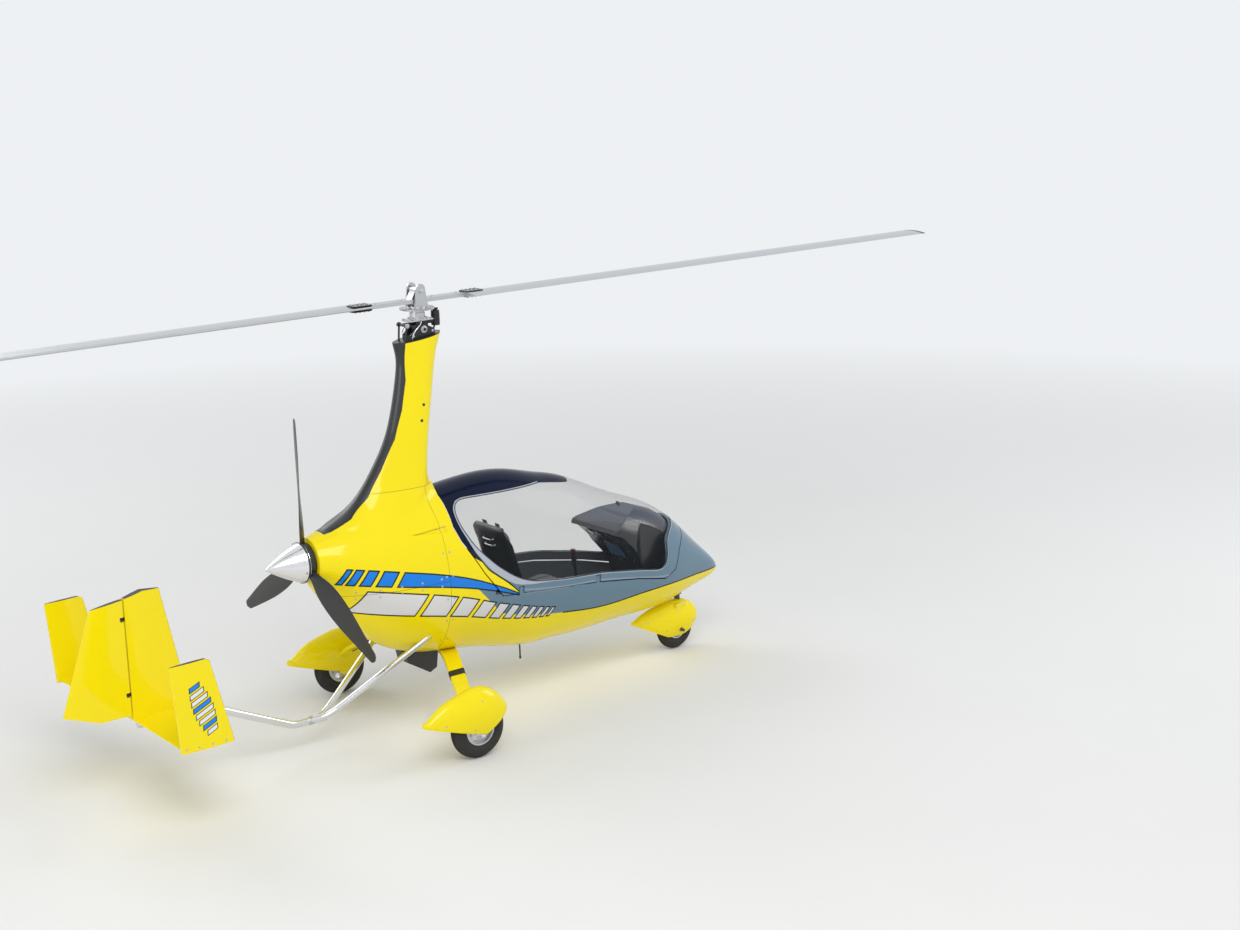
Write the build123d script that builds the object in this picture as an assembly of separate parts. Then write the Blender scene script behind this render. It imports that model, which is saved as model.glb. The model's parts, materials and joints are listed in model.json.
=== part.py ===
from build123d import *
import math
import os
from collections import namedtuple

# Two-seat enclosed gyrocopter standing on its three wheels, rotor parked fore and aft.
# Millimetres. +X is the nose, +Y the left side, +Z up. The origin is on the ground
# under the rotor axis.

# Walls and clearances
BODY_WALL = 15
COWL_WALL = 12
FRAME_WALL = 22
ROOF_WALL = 8
GLASS_WALL = 4
PANEL_GAP = 8
RUNNING_GAP = 0.3
SWING_GAP = 6

# Wheels and axles
MAIN_R = 180
MAIN_WIDTH = 100
MAIN_RIM_R = 98
MAIN_X = -235
TRACK_HALF = 782
MAIN_AXLE_R = 12.5
NOSE_R = 145
NOSE_WIDTH = 90
NOSE_RIM_R = 72
NOSE_X = 1919
NOSE_AXLE_R = 10
NOSE_AXLE_HALF = 104
FORK_CHEEK = 12
FORK_CROWN = 22
STEM_TOP_Z = 488
LEG_TUBE_WALL = 12
LEG_TUBE_Z = 430
LEG_TUBE_LENGTH = 110
TOW_PIN_LENGTH = 24
TOW_BOSS_R = 16
STEER_X = 1950
STEM_R = 20
TYRE_CROWN = 14
TYRE_TREAD_SHARE = 0.62
BEAD_SHARE = 0.36
HUB_R_SHARE = 0.42
HUB_WIDTH_SHARE = 0.8
RIM_WALL = 9
RIM_WEB = 12
RIM_HOLES = 5
RIM_HOLE_SHARE = 0.33

# Rotor
ROTOR_R = 4200
ROTOR_CHORD = 200
ROTOR_THICK = 26
BLADE_ROOT_X = 330
BLADE_Z = 2603
TEETER_Z = 2662
TEETER_BOLT_R = 8
HUB_BAR_HALF = 440
HUB_BAR_WIDTH = 76
HUB_BAR_THICK = 24
HUB_BLOCK_HALF = 30
BLADE_CLAMP_X = 395
BLADE_CLAMP = (130, 90, 6)
BLADE_CLAMP_CORNER = 16
TOWER_TOP_Z = 2706
CHEEK_IN = 44
CHEEK_THICK = 12
CHEEK_TOP_R = 30
RING_GEAR_R = 104
RING_GEAR_Z = 2550
RING_GEAR_THICK = 12
RING_GEAR_TEETH = 72
TOOTH_DEPTH = 4
TOWER_FLANGE_R = 58
TOWER_FLANGE_THICK = 9
HEAD_SHAFT_R = 18

# Rotor head below the turning pieces
HEAD_PLATE_HALF = 46
HEAD_PLATE_THICK = 12
HEAD_FOOT_Z = 2340
PITCH_BOLT_X = 14
PITCH_BOLT_Z = 2432
PITCH_BOLT_R = 10
PITCH_BOSS_R = 34
GIMBAL_HALF = 32
GIMBAL_TOP_Z = 2484
ROLL_TUBE_Z = 2466
ROLL_TUBE_R = 11
ROLL_TUBE_FRONT_X = 96
CONTROL_BAR_X = -104
CONTROL_BAR_HALF = 54
CONTROL_BAR_R = 8
CONTROL_ROD_Y = 42
CONTROL_ROD_R = 6
ROD_END_R = 13
TORQUE_PLATE = (180, 100, 8)
TORQUE_PLATE_CORNER = 20
HOUSING_R = 46
HOUSING_FLANGE_R = 60
HOUSING_FLANGE_THICK = 8
HOUSING_CAP_R = 38
HOUSING_CAP_Z = 2532
MOTOR_X = 128
MOTOR_R = 26
MOTOR_LOW_Z = 2440
MOTOR_HIGH_Z = 2528
PINION_R = 18
PINION_TEETH = 14
PINION_THICK = 10

# Propeller
THRUST_Z = 1158
PROP_R = 860
PROP_X = -875
PROP_HUB_R = 112
PROP_SHAFT_R = 28
PROP_BLADES = 3
SPINNER_R = 123
SPINNER_BASE_X = -894
SPINNER_TIP_X = -1128
SPINNER_NOSE_R = 4

# Cabin, mast and tail reference places
BULKHEAD_X = -70
BULKHEAD_THICK = 12
CANOPY_REAR_X = 8
MAST_JOINT_Z = 1500
MAST_BLEND_R = 120
MAST_CUT = [(-300, 2352), (300, 2424)]
INTAKE_DEPTH = 8
GLASS_CORNER_R = 58
COWL_JOINT_Z = 950
HINGE_RISE = 30
HINGE_SPOTS = [(420, -353, 772 + HINGE_RISE), (1020, -343, 722 + HINGE_RISE)]
HINGE_PIN_R = 4
HINGE_RELIEF_R = 17
HINGE_RELIEF_SPAN = (232, 292)
HOOD_INSET = 36
HOOD_HALF = 240
HOOD_NOSE_HALF = 188
FLOOR_Z = 462
FLOOR_THICK = 10
HINGE_X = -2038
RUDDER_NOSE_R = 16
RUDDER_LOW_Z = 500
RUDDER_HIGH_Z = 1172
TRAIL_LOW = (-2427, 575)
TRAIL_HIGH = (-2220, 1149)
TAIL_HALF_SPAN = 795
END_PLATE_THICK = 30
STAB_ROOT_Z = 462
STAB_TIP_Z = 530
BOOM_R = 25
BOOM_LEG_R = 19
BOOM_LOW_Z = 182
BOOM_BEND_R = 180
BOOM_LEG_BEND_R = 260
HINGE_LUG_HALF = 9
HINGE_PIN_LENGTH = 52
RUDDER_PIN_R = 4
SCOOP_HALF = 60
SCOOP_WALL = 8
SCOOP_MOUTH_DEPTH = 26
AERIAL_R = 5
SEAT_HALF = 195
SEAT_BASE_HALF = 130
STICK_R = 11
GRIP_R = 17

FAR = 6000

Station = namedtuple("Station", "x low wide high half")

# Body sections across the fuselage: lowest point, height of the widest point, highest point, half width
BODY = [
    Station(-845, 1020, 1158, 1296, 138),
    Station(-700, 808, 1095, 1338, 207),
    Station(-500, 612, 990, 1385, 283),
    Station(-250, 474, 915, 1425, 330),
    Station(50, 420, 875, 1462, 352),
    Station(400, 362, 850, 1490, 366),
    Station(800, 325, 815, 1418, 366),
    Station(1200, 330, 765, 1274, 345),
    Station(1600, 338, 690, 1104, 290),
    Station(1880, 374, 615, 925, 208),
    Station(2100, 425, 555, 715, 126),
    Station(2240, 458, 520, 585, 62),
]
NOSE_TIP = (2300, 0, 500)

MastRow = namedtuple("MastRow", "z rear front wide half")

# Mast fairing sections at a height: rear edge, front edge, place of the widest point, half width
MAST = [
    MastRow(1240, -735, 0, -300, 150),
    MastRow(1335, -728, 0, -260, 172),
    MastRow(1400, -598, -2, -190, 150),
    MastRow(1500, -474, -12, -120, 122),
    MastRow(1630, -373, -6, -90, 106),
    MastRow(1800, -270, 12, -60, 98),
    MastRow(1970, -212, 44, -40, 92),
    MastRow(2150, -172, 78, -20, 84),
    MastRow(2300, -165, 112, -2, 78),
    MastRow(2440, -161, 160, 20, 72),
]


def egg(row, inset=0):
    """Section of the body at a station: two half ellipses that meet at the widest height."""
    half = row.half - inset
    over = EllipticalCenterArc((0, 0), half, row.high - row.wide - inset, 0, arc_size=180)
    under = EllipticalCenterArc((0, 0), half, row.wide - row.low - inset, 180, arc_size=180)
    plane = Plane(origin=(row.x, 0, row.wide), x_dir=(0, 1, 0), z_dir=(1, 0, 0))
    return plane * make_face([over, under])


def body_skin(inset=0):
    """The whole fuselage form, or the space inside it when inset is a wall thickness."""
    tip = Vertex(NOSE_TIP[0] - 1.5 * inset, NOSE_TIP[1], NOSE_TIP[2])
    return loft([egg(row, inset) for row in BODY] + [tip])


def mast_form():
    """The mast fairing: level oval sections from inside the body up to the rotor head."""
    sections = []
    for row in MAST:
        front = EllipticalCenterArc((row.wide, 0), row.front - row.wide, row.half, -90, arc_size=180)
        rear = EllipticalCenterArc((row.wide, 0), row.wide - row.rear, row.half, 90, arc_size=180)
        sections.append(Plane.XY.offset(row.z) * make_face([front, rear]))
    return loft(sections)


def side_region(points, half=FAR, corner=0):
    """A side view outline given as (x, z) corners, cut straight through the aircraft."""
    outline = FilletPolyline(*points, radius=corner, close=True) if corner else Polyline(points, close=True)
    plane = Plane(origin=(0, 0, 0), x_dir=(1, 0, 0), z_dir=(0, -1, 0))
    return extrude(plane * make_face(outline), half, both=True)


def slab(low, high):
    """A box between two corners."""
    size = [high[i] - low[i] for i in range(3)]
    middle = [(high[i] + low[i]) / 2 for i in range(3)]
    return Pos(*middle) * Box(*size)


def rod(start, end, radius):
    """A round bar between two points."""
    direction = Vector(*end) - Vector(*start)
    return extrude(Plane(origin=start, z_dir=direction) * Circle(radius), direction.length)


def foil(lead, trail, half, nose, tail):
    """A symmetrical blade or fin section along the chord, from leading to trailing edge."""
    way = 1 if lead > trail else -1
    belly = lead + 0.38 * (trail - lead)
    start = lead - way * nose
    front = ThreePointArc((start, -nose), (lead, 0), (start, nose))
    upper = ThreePointArc((start, nose), (belly, half), (trail, tail))
    back = Line((trail, tail), (trail, -tail))
    lower = ThreePointArc((trail, -tail), (belly, -half), (start, -nose))
    return make_face([front, upper, back, lower])


def wheel_pair(radius, width, rim_r, bore_r):
    """A tyre and its rim about the Y axis, centred on the origin."""
    bead = width * BEAD_SHARE
    tread = width * TYRE_TREAD_SHARE / 2
    shoulder = radius - TYRE_CROWN
    middle = (rim_r + radius) / 2
    bulge = width / 2 - 1
    outline = [
        Line((rim_r, -bead), (rim_r, bead)),
        ThreePointArc((rim_r, bead), (middle, bulge), (shoulder, tread)),
        ThreePointArc((shoulder, tread), (radius, 0), (shoulder, -tread)),
        ThreePointArc((shoulder, -tread), (middle, -bulge), (rim_r, -bead)),
    ]
    tyre = revolve(make_face(outline), Axis.Y)
    hub_r = rim_r * HUB_R_SHARE
    barrel_r = rim_r - RIM_WALL
    barrel = Cylinder(rim_r, 2 * bead) - Cylinder(barrel_r, 2 * bead)
    rim = barrel + Cylinder(barrel_r + 1, RIM_WEB) + Cylinder(hub_r, width * HUB_WIDTH_SHARE)
    for hole in range(RIM_HOLES):
        spot = Rot(0, 0, (hole + 0.5) * 360 / RIM_HOLES) * Pos((barrel_r + hub_r) / 2, 0, 0)
        rim -= spot * Cylinder((barrel_r - hub_r) * RIM_HOLE_SHARE, 2 * RIM_WEB)
    rim -= Cylinder(bore_r, width)
    return tyre, Rot(90, 0, 0) * rim


def gear(teeth, tip_r, thick):
    """A toothed wheel about the Z axis, standing on the origin."""
    points = []
    root_r = tip_r - TOOTH_DEPTH
    for tooth in range(teeth):
        for share, radius in ((0.0, root_r), (0.18, tip_r), (0.50, tip_r), (0.68, root_r)):
            turn = 2 * math.pi * (tooth + share) / teeth
            points.append((radius * math.cos(turn), radius * math.sin(turn)))
    return extrude(make_face(Polyline(points, close=True)), thick)


SpatRow = namedtuple("SpatRow", "x low high half")

# Wheel fairing sections before the wheel opening is cut
MAIN_SPAT = [
    SpatRow(-606, 256, 300, 14),
    SpatRow(-500, 160, 356, 50),
    SpatRow(-400, 115, 396, 72),
    SpatRow(-290, 95, 424, 85),
    SpatRow(-180, 100, 424, 86),
    SpatRow(-90, 145, 368, 70),
    SpatRow(-42, 205, 312, 38),
]
MAIN_SPAT_TIP = (-22, 0, 262)
MAIN_SPAT_EDGE = [(-640, 284), (-601, 264), (-208, 150), (-20, 282), (0, 0), (-640, 0)]

NOSE_SPAT = [
    SpatRow(1558, 212, 252, 14),
    SpatRow(1640, 130, 288, 44),
    SpatRow(1740, 85, 318, 63),
    SpatRow(1860, 62, 338, 76),
    SpatRow(1980, 72, 336, 76),
    SpatRow(2060, 118, 300, 58),
    SpatRow(2098, 170, 256, 30),
]
NOSE_SPAT_TIP = (2112, 0, 214)
NOSE_SPAT_EDGE = [(1500, 262), (1561, 232), (1830, 100), (1985, 94), (2120, 214), (2120, 0), (1500, 0)]


def fairing(rows, tip, edge):
    """A teardrop wheel fairing along X, open below the given side view line."""
    sections = []
    for row in rows:
        plane = Plane(origin=(row.x, 0, (row.low + row.high) / 2), x_dir=(0, 1, 0), z_dir=(1, 0, 0))
        sections.append(plane * Ellipse(row.half, (row.high - row.low) / 2))
    return loft(sections + [Vertex(*tip)]) - side_region(edge)


def wheel_well(x, z, radius, width):
    """The room a wheel needs inside its fairing, open downwards."""
    room = radius + 2 * SWING_GAP
    half = width / 2 + SWING_GAP
    drum = Pos(x, 0, z) * Rot(90, 0, 0) * Cylinder(room, 2 * half)
    return drum + slab((x - room, -half, -50), (x + room, half, z))


# Side view lines of the canopy, its glass and its dark roof
CANOPY_REAR = [(0, 1300), (6, 1250), (36, 1165), (98, 1062), (160, 954), (285, 783)]
CANOPY_SILL = [(420, 772), (1020, 722), (1378, 662), (1640, 600)]
CANOPY_FRONT = [(1735, 640), (1800, 760), (1960, 905)]
GLASS_EDGE = [
    (91, 1392), (46, 1352), (50, 1262), (116, 1125), (253, 981), (397, 876), (508, 834),
    (738, 801), (1054, 779), (1378, 722), (1602, 672), (1650, 700), (1672, 860), (1868, 960),
]
ROOF_EDGE = [(91, 1392), (497, 1387), (726, 1384), (1030, 1330)]
ROOF_TOP_Z = 1600
ROOF_OVERLAP = 30


def canopy_region(clearance=0):
    """Everything above the line where the canopy parts from the fuselage."""
    drop = clearance
    line = [(CANOPY_REAR_X - drop, ROOF_TOP_Z), (CANOPY_REAR_X - drop, CANOPY_REAR[0][1])]
    line += [(max(x, CANOPY_REAR_X) - drop * 0.8, z - drop * 0.6) for x, z in CANOPY_REAR[1:]]
    line += [(x, z - drop) for x, z in CANOPY_SILL]
    line += [(x + drop * 0.9, z - drop * 0.7) for x, z in CANOPY_FRONT]
    line += [(CANOPY_FRONT[-1][0] + drop, ROOF_TOP_Z)]
    return side_region(line)


def glass_region():
    """The clear dome and side windows."""
    front_x = GLASS_EDGE[-1][0]
    over = [(front_x, ROOF_TOP_Z), (ROOF_EDGE[-1][0], ROOF_TOP_Z)]
    return side_region(GLASS_EDGE + over + ROOF_EDGE[::-1][:-1], corner=GLASS_CORNER_R)


def roof_region():
    """The dark roof and the two pillars behind the side windows, before the glass is taken out."""
    pillar = [(x + ROOF_OVERLAP, z) for x, z in GLASS_EDGE[1:4][::-1]]
    under = [(x + ROOF_OVERLAP, z - ROOF_OVERLAP) for x, z in ROOF_EDGE[:-1]]
    front_x, front_z = ROOF_EDGE[-1]
    rear_x = CANOPY_REAR_X - 50
    line = [(front_x, ROOF_TOP_Z), (rear_x, ROOF_TOP_Z), (rear_x, 1200), (92, 1100)]
    return side_region(line + pillar + under + [(front_x, front_z - ROOF_OVERLAP)])


parts = {}

# The mast grows out of the body with a soft blend all round its foot
outer = body_skin()
whole = outer + mast_form()
foot = [
    edge for edge in whole.edges()
    if edge.bounding_box().min.Z > MAST[0].z and edge.bounding_box().max.Z < MAST_JOINT_Z
]
whole = fillet(foot, MAST_BLEND_R)
shell = whole & slab((-FAR, -FAR, 0), (FAR, FAR, MAST_JOINT_Z))
wall_x = BULKHEAD_X - BULKHEAD_THICK
cabin_space = body_skin(BODY_WALL) & slab((wall_x, -FAR, 0), (FAR, FAR, FAR))
cowl_space = body_skin(COWL_WALL) & slab((BODY[0].x + COWL_WALL, -FAR, 0), (wall_x, FAR, FAR))
front_half = slab((wall_x, -FAR, 0), (FAR, FAR, FAR))
rear_half = slab((-FAR, -FAR, 0), (wall_x, FAR, FAR))

# Main gear bow: one swept leaf under the belly, from wheel to wheel
BowRow = namedtuple("BowRow", "y x z chord thick")
BOW = [
    BowRow(0, 58, 432, 120, 26),
    BowRow(200, -18, 436, 116, 26),
    BowRow(330, -82, 428, 112, 26),
    BowRow(450, -140, 408, 108, 26),
    BowRow(560, -186, 372, 104, 27),
    BowRow(650, -218, 322, 98, 30),
    BowRow(712, -232, 262, 92, 36),
]
BOW_PLATE_THICK = 18
BOW_PLATE_HALF = 40
BOW_EDGE_R = 8
AXLE_END = 14


def bow_half(side):
    """One side of the gear bow, with the upright plate that carries the axle."""
    sections = []
    for row in BOW:
        plane = Plane(origin=(row.x, side * row.y, row.z), x_dir=(1, 0, 0), z_dir=(0, 1, 0))
        sections.append(plane * RectangleRounded(row.chord, row.thick, BOW_EDGE_R))
    half = loft(sections)
    inner = TRACK_HALF - MAIN_WIDTH / 2 - SWING_GAP - BOW_PLATE_THICK
    last = BOW[-1]
    low = (MAIN_X - BOW_PLATE_HALF, inner, MAIN_R)
    plate = slab(low, (MAIN_X + BOW_PLATE_HALF, inner + BOW_PLATE_THICK, last.z + 20))
    plate += rod((MAIN_X, inner, MAIN_R), (MAIN_X, inner + BOW_PLATE_THICK, MAIN_R), BOW_PLATE_HALF)
    axle = rod((MAIN_X, inner, MAIN_R), (MAIN_X, TRACK_HALF + MAIN_WIDTH / 2 + AXLE_END, MAIN_R), MAIN_AXLE_R)
    foot = plate + axle
    return half + (foot if side > 0 else mirror(foot, Plane.XZ))


bow = bow_half(1) + bow_half(-1)
parts["main_gear_bow"] = bow

# Tail boom: two tubes from the belly that run together into one
tail_floor = STAB_ROOT_Z - BOOM_R - 1
boom_start = (-800, 0, BOOM_LOW_Z)
boom_path = FilletPolyline(
    boom_start, (-1020, 0, BOOM_LOW_Z + 2), (-1500, 0, 404), (-1700, 0, tail_floor), (-1996, 0, tail_floor),
    radius=BOOM_BEND_R,
)
boom = sweep(Plane(origin=boom_start, z_dir=(-1, 0, 0)) * Circle(BOOM_R), path=boom_path)
for side in (-1, 1):
    top = (-180, side * 238, 606)
    bend = (-790, side * 26, BOOM_LOW_Z + 12)
    leg_path = FilletPolyline(top, bend, (-930, side * 4, BOOM_LOW_Z + 2), radius=BOOM_LEG_BEND_R)
    heading = Vector(*bend) - Vector(*top)
    boom += sweep(Plane(origin=top, z_dir=heading) * Circle(BOOM_LEG_R), path=leg_path)
parts["tail_boom"] = boom - outer

# Fuselage shells, with room round the hinge line where the canopy edge swings down past the sill
hinge_slope = (HINGE_SPOTS[1][2] - HINGE_SPOTS[0][2]) / (HINGE_SPOTS[1][0] - HINGE_SPOTS[0][0])
hinge_x, hinge_y, hinge_z = HINGE_SPOTS[0]
relief_ends = [(x, hinge_y, hinge_z + hinge_slope * (x - hinge_x)) for x in HINGE_RELIEF_SPAN]
hinge_relief = rod(relief_ends[0], relief_ends[1], HINGE_RELIEF_R)
steer_hole = Pos(STEER_X, 0, LEG_TUBE_Z) * Cylinder(STEM_R + LEG_TUBE_WALL, LEG_TUBE_LENGTH)
intake_line = [(-275, 1250), (-40, 1232), (-40, 1268)]
intake = (outer - body_skin(INTAKE_DEPTH)) & side_region(intake_line)
tub = (shell & front_half) - canopy_region(PANEL_GAP / 2) - cabin_space - bow
tub = tub - steer_hole - hinge_relief - intake
parts["fuselage_tub"] = tub
parts["rear_bulkhead"] = cabin_space & slab((wall_x, -FAR, 0), (BULKHEAD_X, FAR, FAR))
parts["cabin_floor"] = (
    cabin_space & slab((BULKHEAD_X, -FAR, FLOOR_Z), (1860, FAR, FLOOR_Z + FLOOR_THICK))
)

# Rear cowls, split level with the engine, open round the propeller shaft
trim_line = [(-118, 2460), (-131, 2300), (-138, 2144), (-177, 1968), (-236, 1800), (-340, 1628), (-449, 1480),
             (-583, 1378), (-716, 1322), (-760, 1312)]
trim_region = side_region(trim_line + [(-790, 1380), (-1000, 2460)])
shaft_hole = rod((-900, 0, THRUST_Z), (-800, 0, THRUST_Z), 100)
rear_shell = (shell & rear_half) - cowl_space - shaft_hole - bow
parts["engine_cowl"] = (rear_shell & slab((-FAR, -FAR, COWL_JOINT_Z), (FAR, FAR, FAR))) - trim_region - intake
parts["lower_cowl"] = rear_shell & slab((-FAR, -FAR, 0), (FAR, FAR, COWL_JOINT_Z))

# Mast fairing, cut on the slope under the rotor head, with the black strip along its back
upper_mast = whole & slab((-FAR, -FAR, MAST_JOINT_Z), (FAR, FAR, FAR))
upper_mast -= side_region(MAST_CUT + [(MAST_CUT[1][0], FAR), (MAST_CUT[0][0], FAR)])
upper_mast -= canopy_region(PANEL_GAP / 2)
parts["mast_fairing"] = upper_mast - trim_region
parts["mast_trim"] = (upper_mast + (shell & rear_half)) & trim_region

# Engine block with the gearbox that carries the propeller shaft, on four mounts to the bulkhead
engine = slab((-600, -185, 880), (-140, 185, 1190)) + slab((-480, -140, 730), (-200, 140, 880))
for drop, end_x, radius in ((60, -690, 95), (0, -800, 62)):
    engine += rod((-600, 0, THRUST_Z - drop), (end_x, 0, THRUST_Z - drop), radius)
engine -= rod((-560, 0, THRUST_Z), (-900, 0, THRUST_Z), PROP_SHAFT_R + RUNNING_GAP)
for side in (-1, 1):
    for z in (930, 1140):
        engine += rod((-140, side * 140, z), (wall_x, side * 140, z), 18)
parts["engine_block"] = engine

# Canopy: frame, clear glass and dark roof, hinged along the right sill
canopy_skin = canopy_region(-PANEL_GAP / 2)
frame = (outer - body_skin(FRAME_WALL)) & canopy_skin
frame = frame - glass_region() - roof_region()
brackets = None
for x, y, z in HINGE_SPOTS:
    line = Vector(*HINGE_SPOTS[1]) - Vector(*HINGE_SPOTS[0])
    along = line.normalized()
    here = Vector(x, y, z)
    lug = slab((x - 40, y - 30, z - 14), (x + 40, y + 12, z + 14)) & outer
    frame = (frame + lug) - slab((x - 21, y - 60, z - 70), (x + 21, y + 40, z + 17))
    frame -= rod(here - along * 37, here + along * 37, HINGE_PIN_R + RUNNING_GAP)
    bracket = slab((x - 14, y - 8, z - 50), (x + 14, y + 8, z + 8))
    bracket += slab((x - 14, y - 8, z - 90), (x + 14, y + 22, z - HINGE_RISE - 4))
    bracket = (bracket & outer) - tub
    bracket += rod(here - along * 35, here + along * 35, HINGE_PIN_R)
    brackets = bracket if brackets is None else brackets + bracket
parts["canopy_frame"] = frame
parts["canopy_hinges"] = brackets
parts["canopy_glass"] = (outer - body_skin(GLASS_WALL)) & canopy_skin & glass_region()
parts["canopy_roof"] = ((outer - body_skin(ROOF_WALL)) & canopy_skin & roof_region()) - glass_region()

# Nose wheel leg head, fork, axle and fairing
leg_tube = Cylinder(STEM_R + LEG_TUBE_WALL, LEG_TUBE_LENGTH)
leg_tube -= Cylinder(STEM_R + RUNNING_GAP, LEG_TUBE_LENGTH)
parts["nose_leg_tube"] = Pos(STEER_X, 0, LEG_TUBE_Z) * leg_tube
fork_in = NOSE_WIDTH / 2 + SWING_GAP + 1
fork_out = fork_in + FORK_CHEEK
fork_top = 2 * NOSE_R + 2 * SWING_GAP
fork = slab((NOSE_X - 28, -fork_out, fork_top), (STEER_X + 28, fork_out, fork_top + FORK_CROWN))
fork += rod((STEER_X, 0, fork_top + FORK_CROWN / 2), (STEER_X, 0, STEM_TOP_Z), STEM_R)
fork += rod((NOSE_X, -NOSE_AXLE_HALF, NOSE_R), (NOSE_X, NOSE_AXLE_HALF, NOSE_R), NOSE_AXLE_R)
for side in (-1, 1):
    low, high = sorted((side * fork_in, side * fork_out))
    fork += slab((NOSE_X - 24, low, NOSE_R), (NOSE_X + 26, high, fork_top + FORK_CROWN / 2))
    fork += rod((NOSE_X, low, NOSE_R), (NOSE_X, high, NOSE_R), 26)
    boss_out = side * (NOSE_AXLE_HALF - TOW_PIN_LENGTH)
    fork += rod((NOSE_X, side * fork_in, NOSE_R), (NOSE_X, boss_out, NOSE_R), TOW_BOSS_R)
parts["nose_fork"] = fork
nose_spat = fairing(NOSE_SPAT, NOSE_SPAT_TIP, NOSE_SPAT_EDGE)
parts["nose_spat"] = nose_spat - wheel_well(NOSE_X, NOSE_R, NOSE_R, NOSE_WIDTH) - fork
nose_tyre, nose_rim = wheel_pair(NOSE_R, NOSE_WIDTH, NOSE_RIM_R, NOSE_AXLE_R + RUNNING_GAP)
parts["nose_tyre"] = Pos(NOSE_X, 0, NOSE_R) * nose_tyre
parts["nose_rim"] = Pos(NOSE_X, 0, NOSE_R) * nose_rim

# Main wheels and fairings
main_tyre, main_rim = wheel_pair(MAIN_R, MAIN_WIDTH, MAIN_RIM_R, MAIN_AXLE_R + RUNNING_GAP)
main_spat = fairing(MAIN_SPAT, MAIN_SPAT_TIP, MAIN_SPAT_EDGE) - wheel_well(MAIN_X, MAIN_R, MAIN_R, MAIN_WIDTH)
for side, name in ((1, "left"), (-1, "right")):
    place = Pos(0, side * TRACK_HALF, 0)
    parts["main_tyre_" + name] = place * Pos(MAIN_X, 0, MAIN_R) * main_tyre
    parts["main_rim_" + name] = place * Pos(MAIN_X, 0, MAIN_R) * main_rim
    parts["main_spat_" + name] = (place * main_spat) - bow

# Tail surfaces
stab_sections = []
for y, z, lead, trail, half in (
    (-TAIL_HALF_SPAN + 6, STAB_TIP_Z, -1812, -2112, 14),
    (0, STAB_ROOT_Z, -1662, -2012, 21),
    (TAIL_HALF_SPAN - 6, STAB_TIP_Z, -1812, -2112, 14),
):
    plane = Plane(origin=(0, y, z), x_dir=(1, 0, 0), z_dir=(0, -1, 0))
    stab_sections.append(plane * foil(lead, trail, half, 8, 3))
stabiliser = loft(stab_sections, ruled=True) - boom
parts["stabiliser"] = stabiliser

fin_low = Plane.XY.offset(440) * foil(-1655, HINGE_X + 6, 26, 9, RUDDER_NOSE_R)
fin_high = Plane.XY.offset(1210) * foil(-1805, HINGE_X + 6, 22, 8, RUDDER_NOSE_R)
fin_outline = side_region([(-1500, 400), (-1690, 1130), (-1800, 1196), (-1912, 1204), (HINGE_X, RUDDER_HIGH_Z),
                           (HINGE_X, 400)])
fin = (loft([fin_low, fin_high], ruled=True) & fin_outline) - stabiliser - boom
fin -= Pos(HINGE_X, 0, 800) * Cylinder(RUDDER_NOSE_R + SWING_GAP, 1000)
fin -= slab((-FAR, -FAR, 0), (FAR, FAR, STAB_ROOT_Z))
parts["fin"] = fin

trail_slope = (TRAIL_HIGH[0] - TRAIL_LOW[0]) / (TRAIL_HIGH[1] - TRAIL_LOW[1])
rudder_sections = []
for z in (440, 1180):
    trail = TRAIL_LOW[0] + (z - TRAIL_LOW[1]) * trail_slope
    rudder_sections.append(Plane.XY.offset(z) * foil(HINGE_X + RUDDER_NOSE_R, trail, 17, RUDDER_NOSE_R, 3))
rudder_outline = side_region(
    [(-2000, RUDDER_LOW_Z), (-2217, RUDDER_LOW_Z), TRAIL_LOW, TRAIL_HIGH, (HINGE_X, RUDDER_HIGH_Z),
     (-2000, RUDDER_HIGH_Z)]
)
rudder = loft(rudder_sections, ruled=True) & rudder_outline

# Rudder hinges: lugs from the fin that hold a pin inside a slot in the rudder nose
hinge_lugs = None
for z in (620, 1060):
    reach = HINGE_PIN_LENGTH / 2
    lug = slab((HINGE_X - HINGE_LUG_HALF, -HINGE_LUG_HALF, z - 8), (HINGE_X + 60, HINGE_LUG_HALF, z + 8))
    rudder -= slab((HINGE_X - 16, -30, z - 14), (HINGE_X + 40, 30, z + 14))
    rudder -= rod((HINGE_X, 0, z - reach - 2), (HINGE_X, 0, z + reach + 2), RUDDER_PIN_R + RUNNING_GAP)
    piece = (lug - fin) + rod((HINGE_X, 0, z - reach), (HINGE_X, 0, z + reach), RUDDER_PIN_R)
    hinge_lugs = piece if hinge_lugs is None else hinge_lugs + piece
parts["rudder"] = rudder
parts["rudder_hinges"] = hinge_lugs - fin

for side, name in ((1, "left"), (-1, "right")):
    y = side * TAIL_HALF_SPAN
    low = Plane(origin=(0, y, 500)) * foil(-1802, -2118, END_PLATE_THICK / 2, 8, 4)
    high = Plane(origin=(0, y, 1010)) * foil(-1922, -2153, END_PLATE_THICK / 2 - 2, 7, 4)
    plate = loft([low, high], ruled=True) & side_region(
        [(-1700, 560), (-1818, 512), (-2118, 508), (-2200, 540), (-2160, 998), (-1946, 1004), (-1890, 975)]
    )
    parts["end_plate_" + name] = plate - stabiliser

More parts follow.
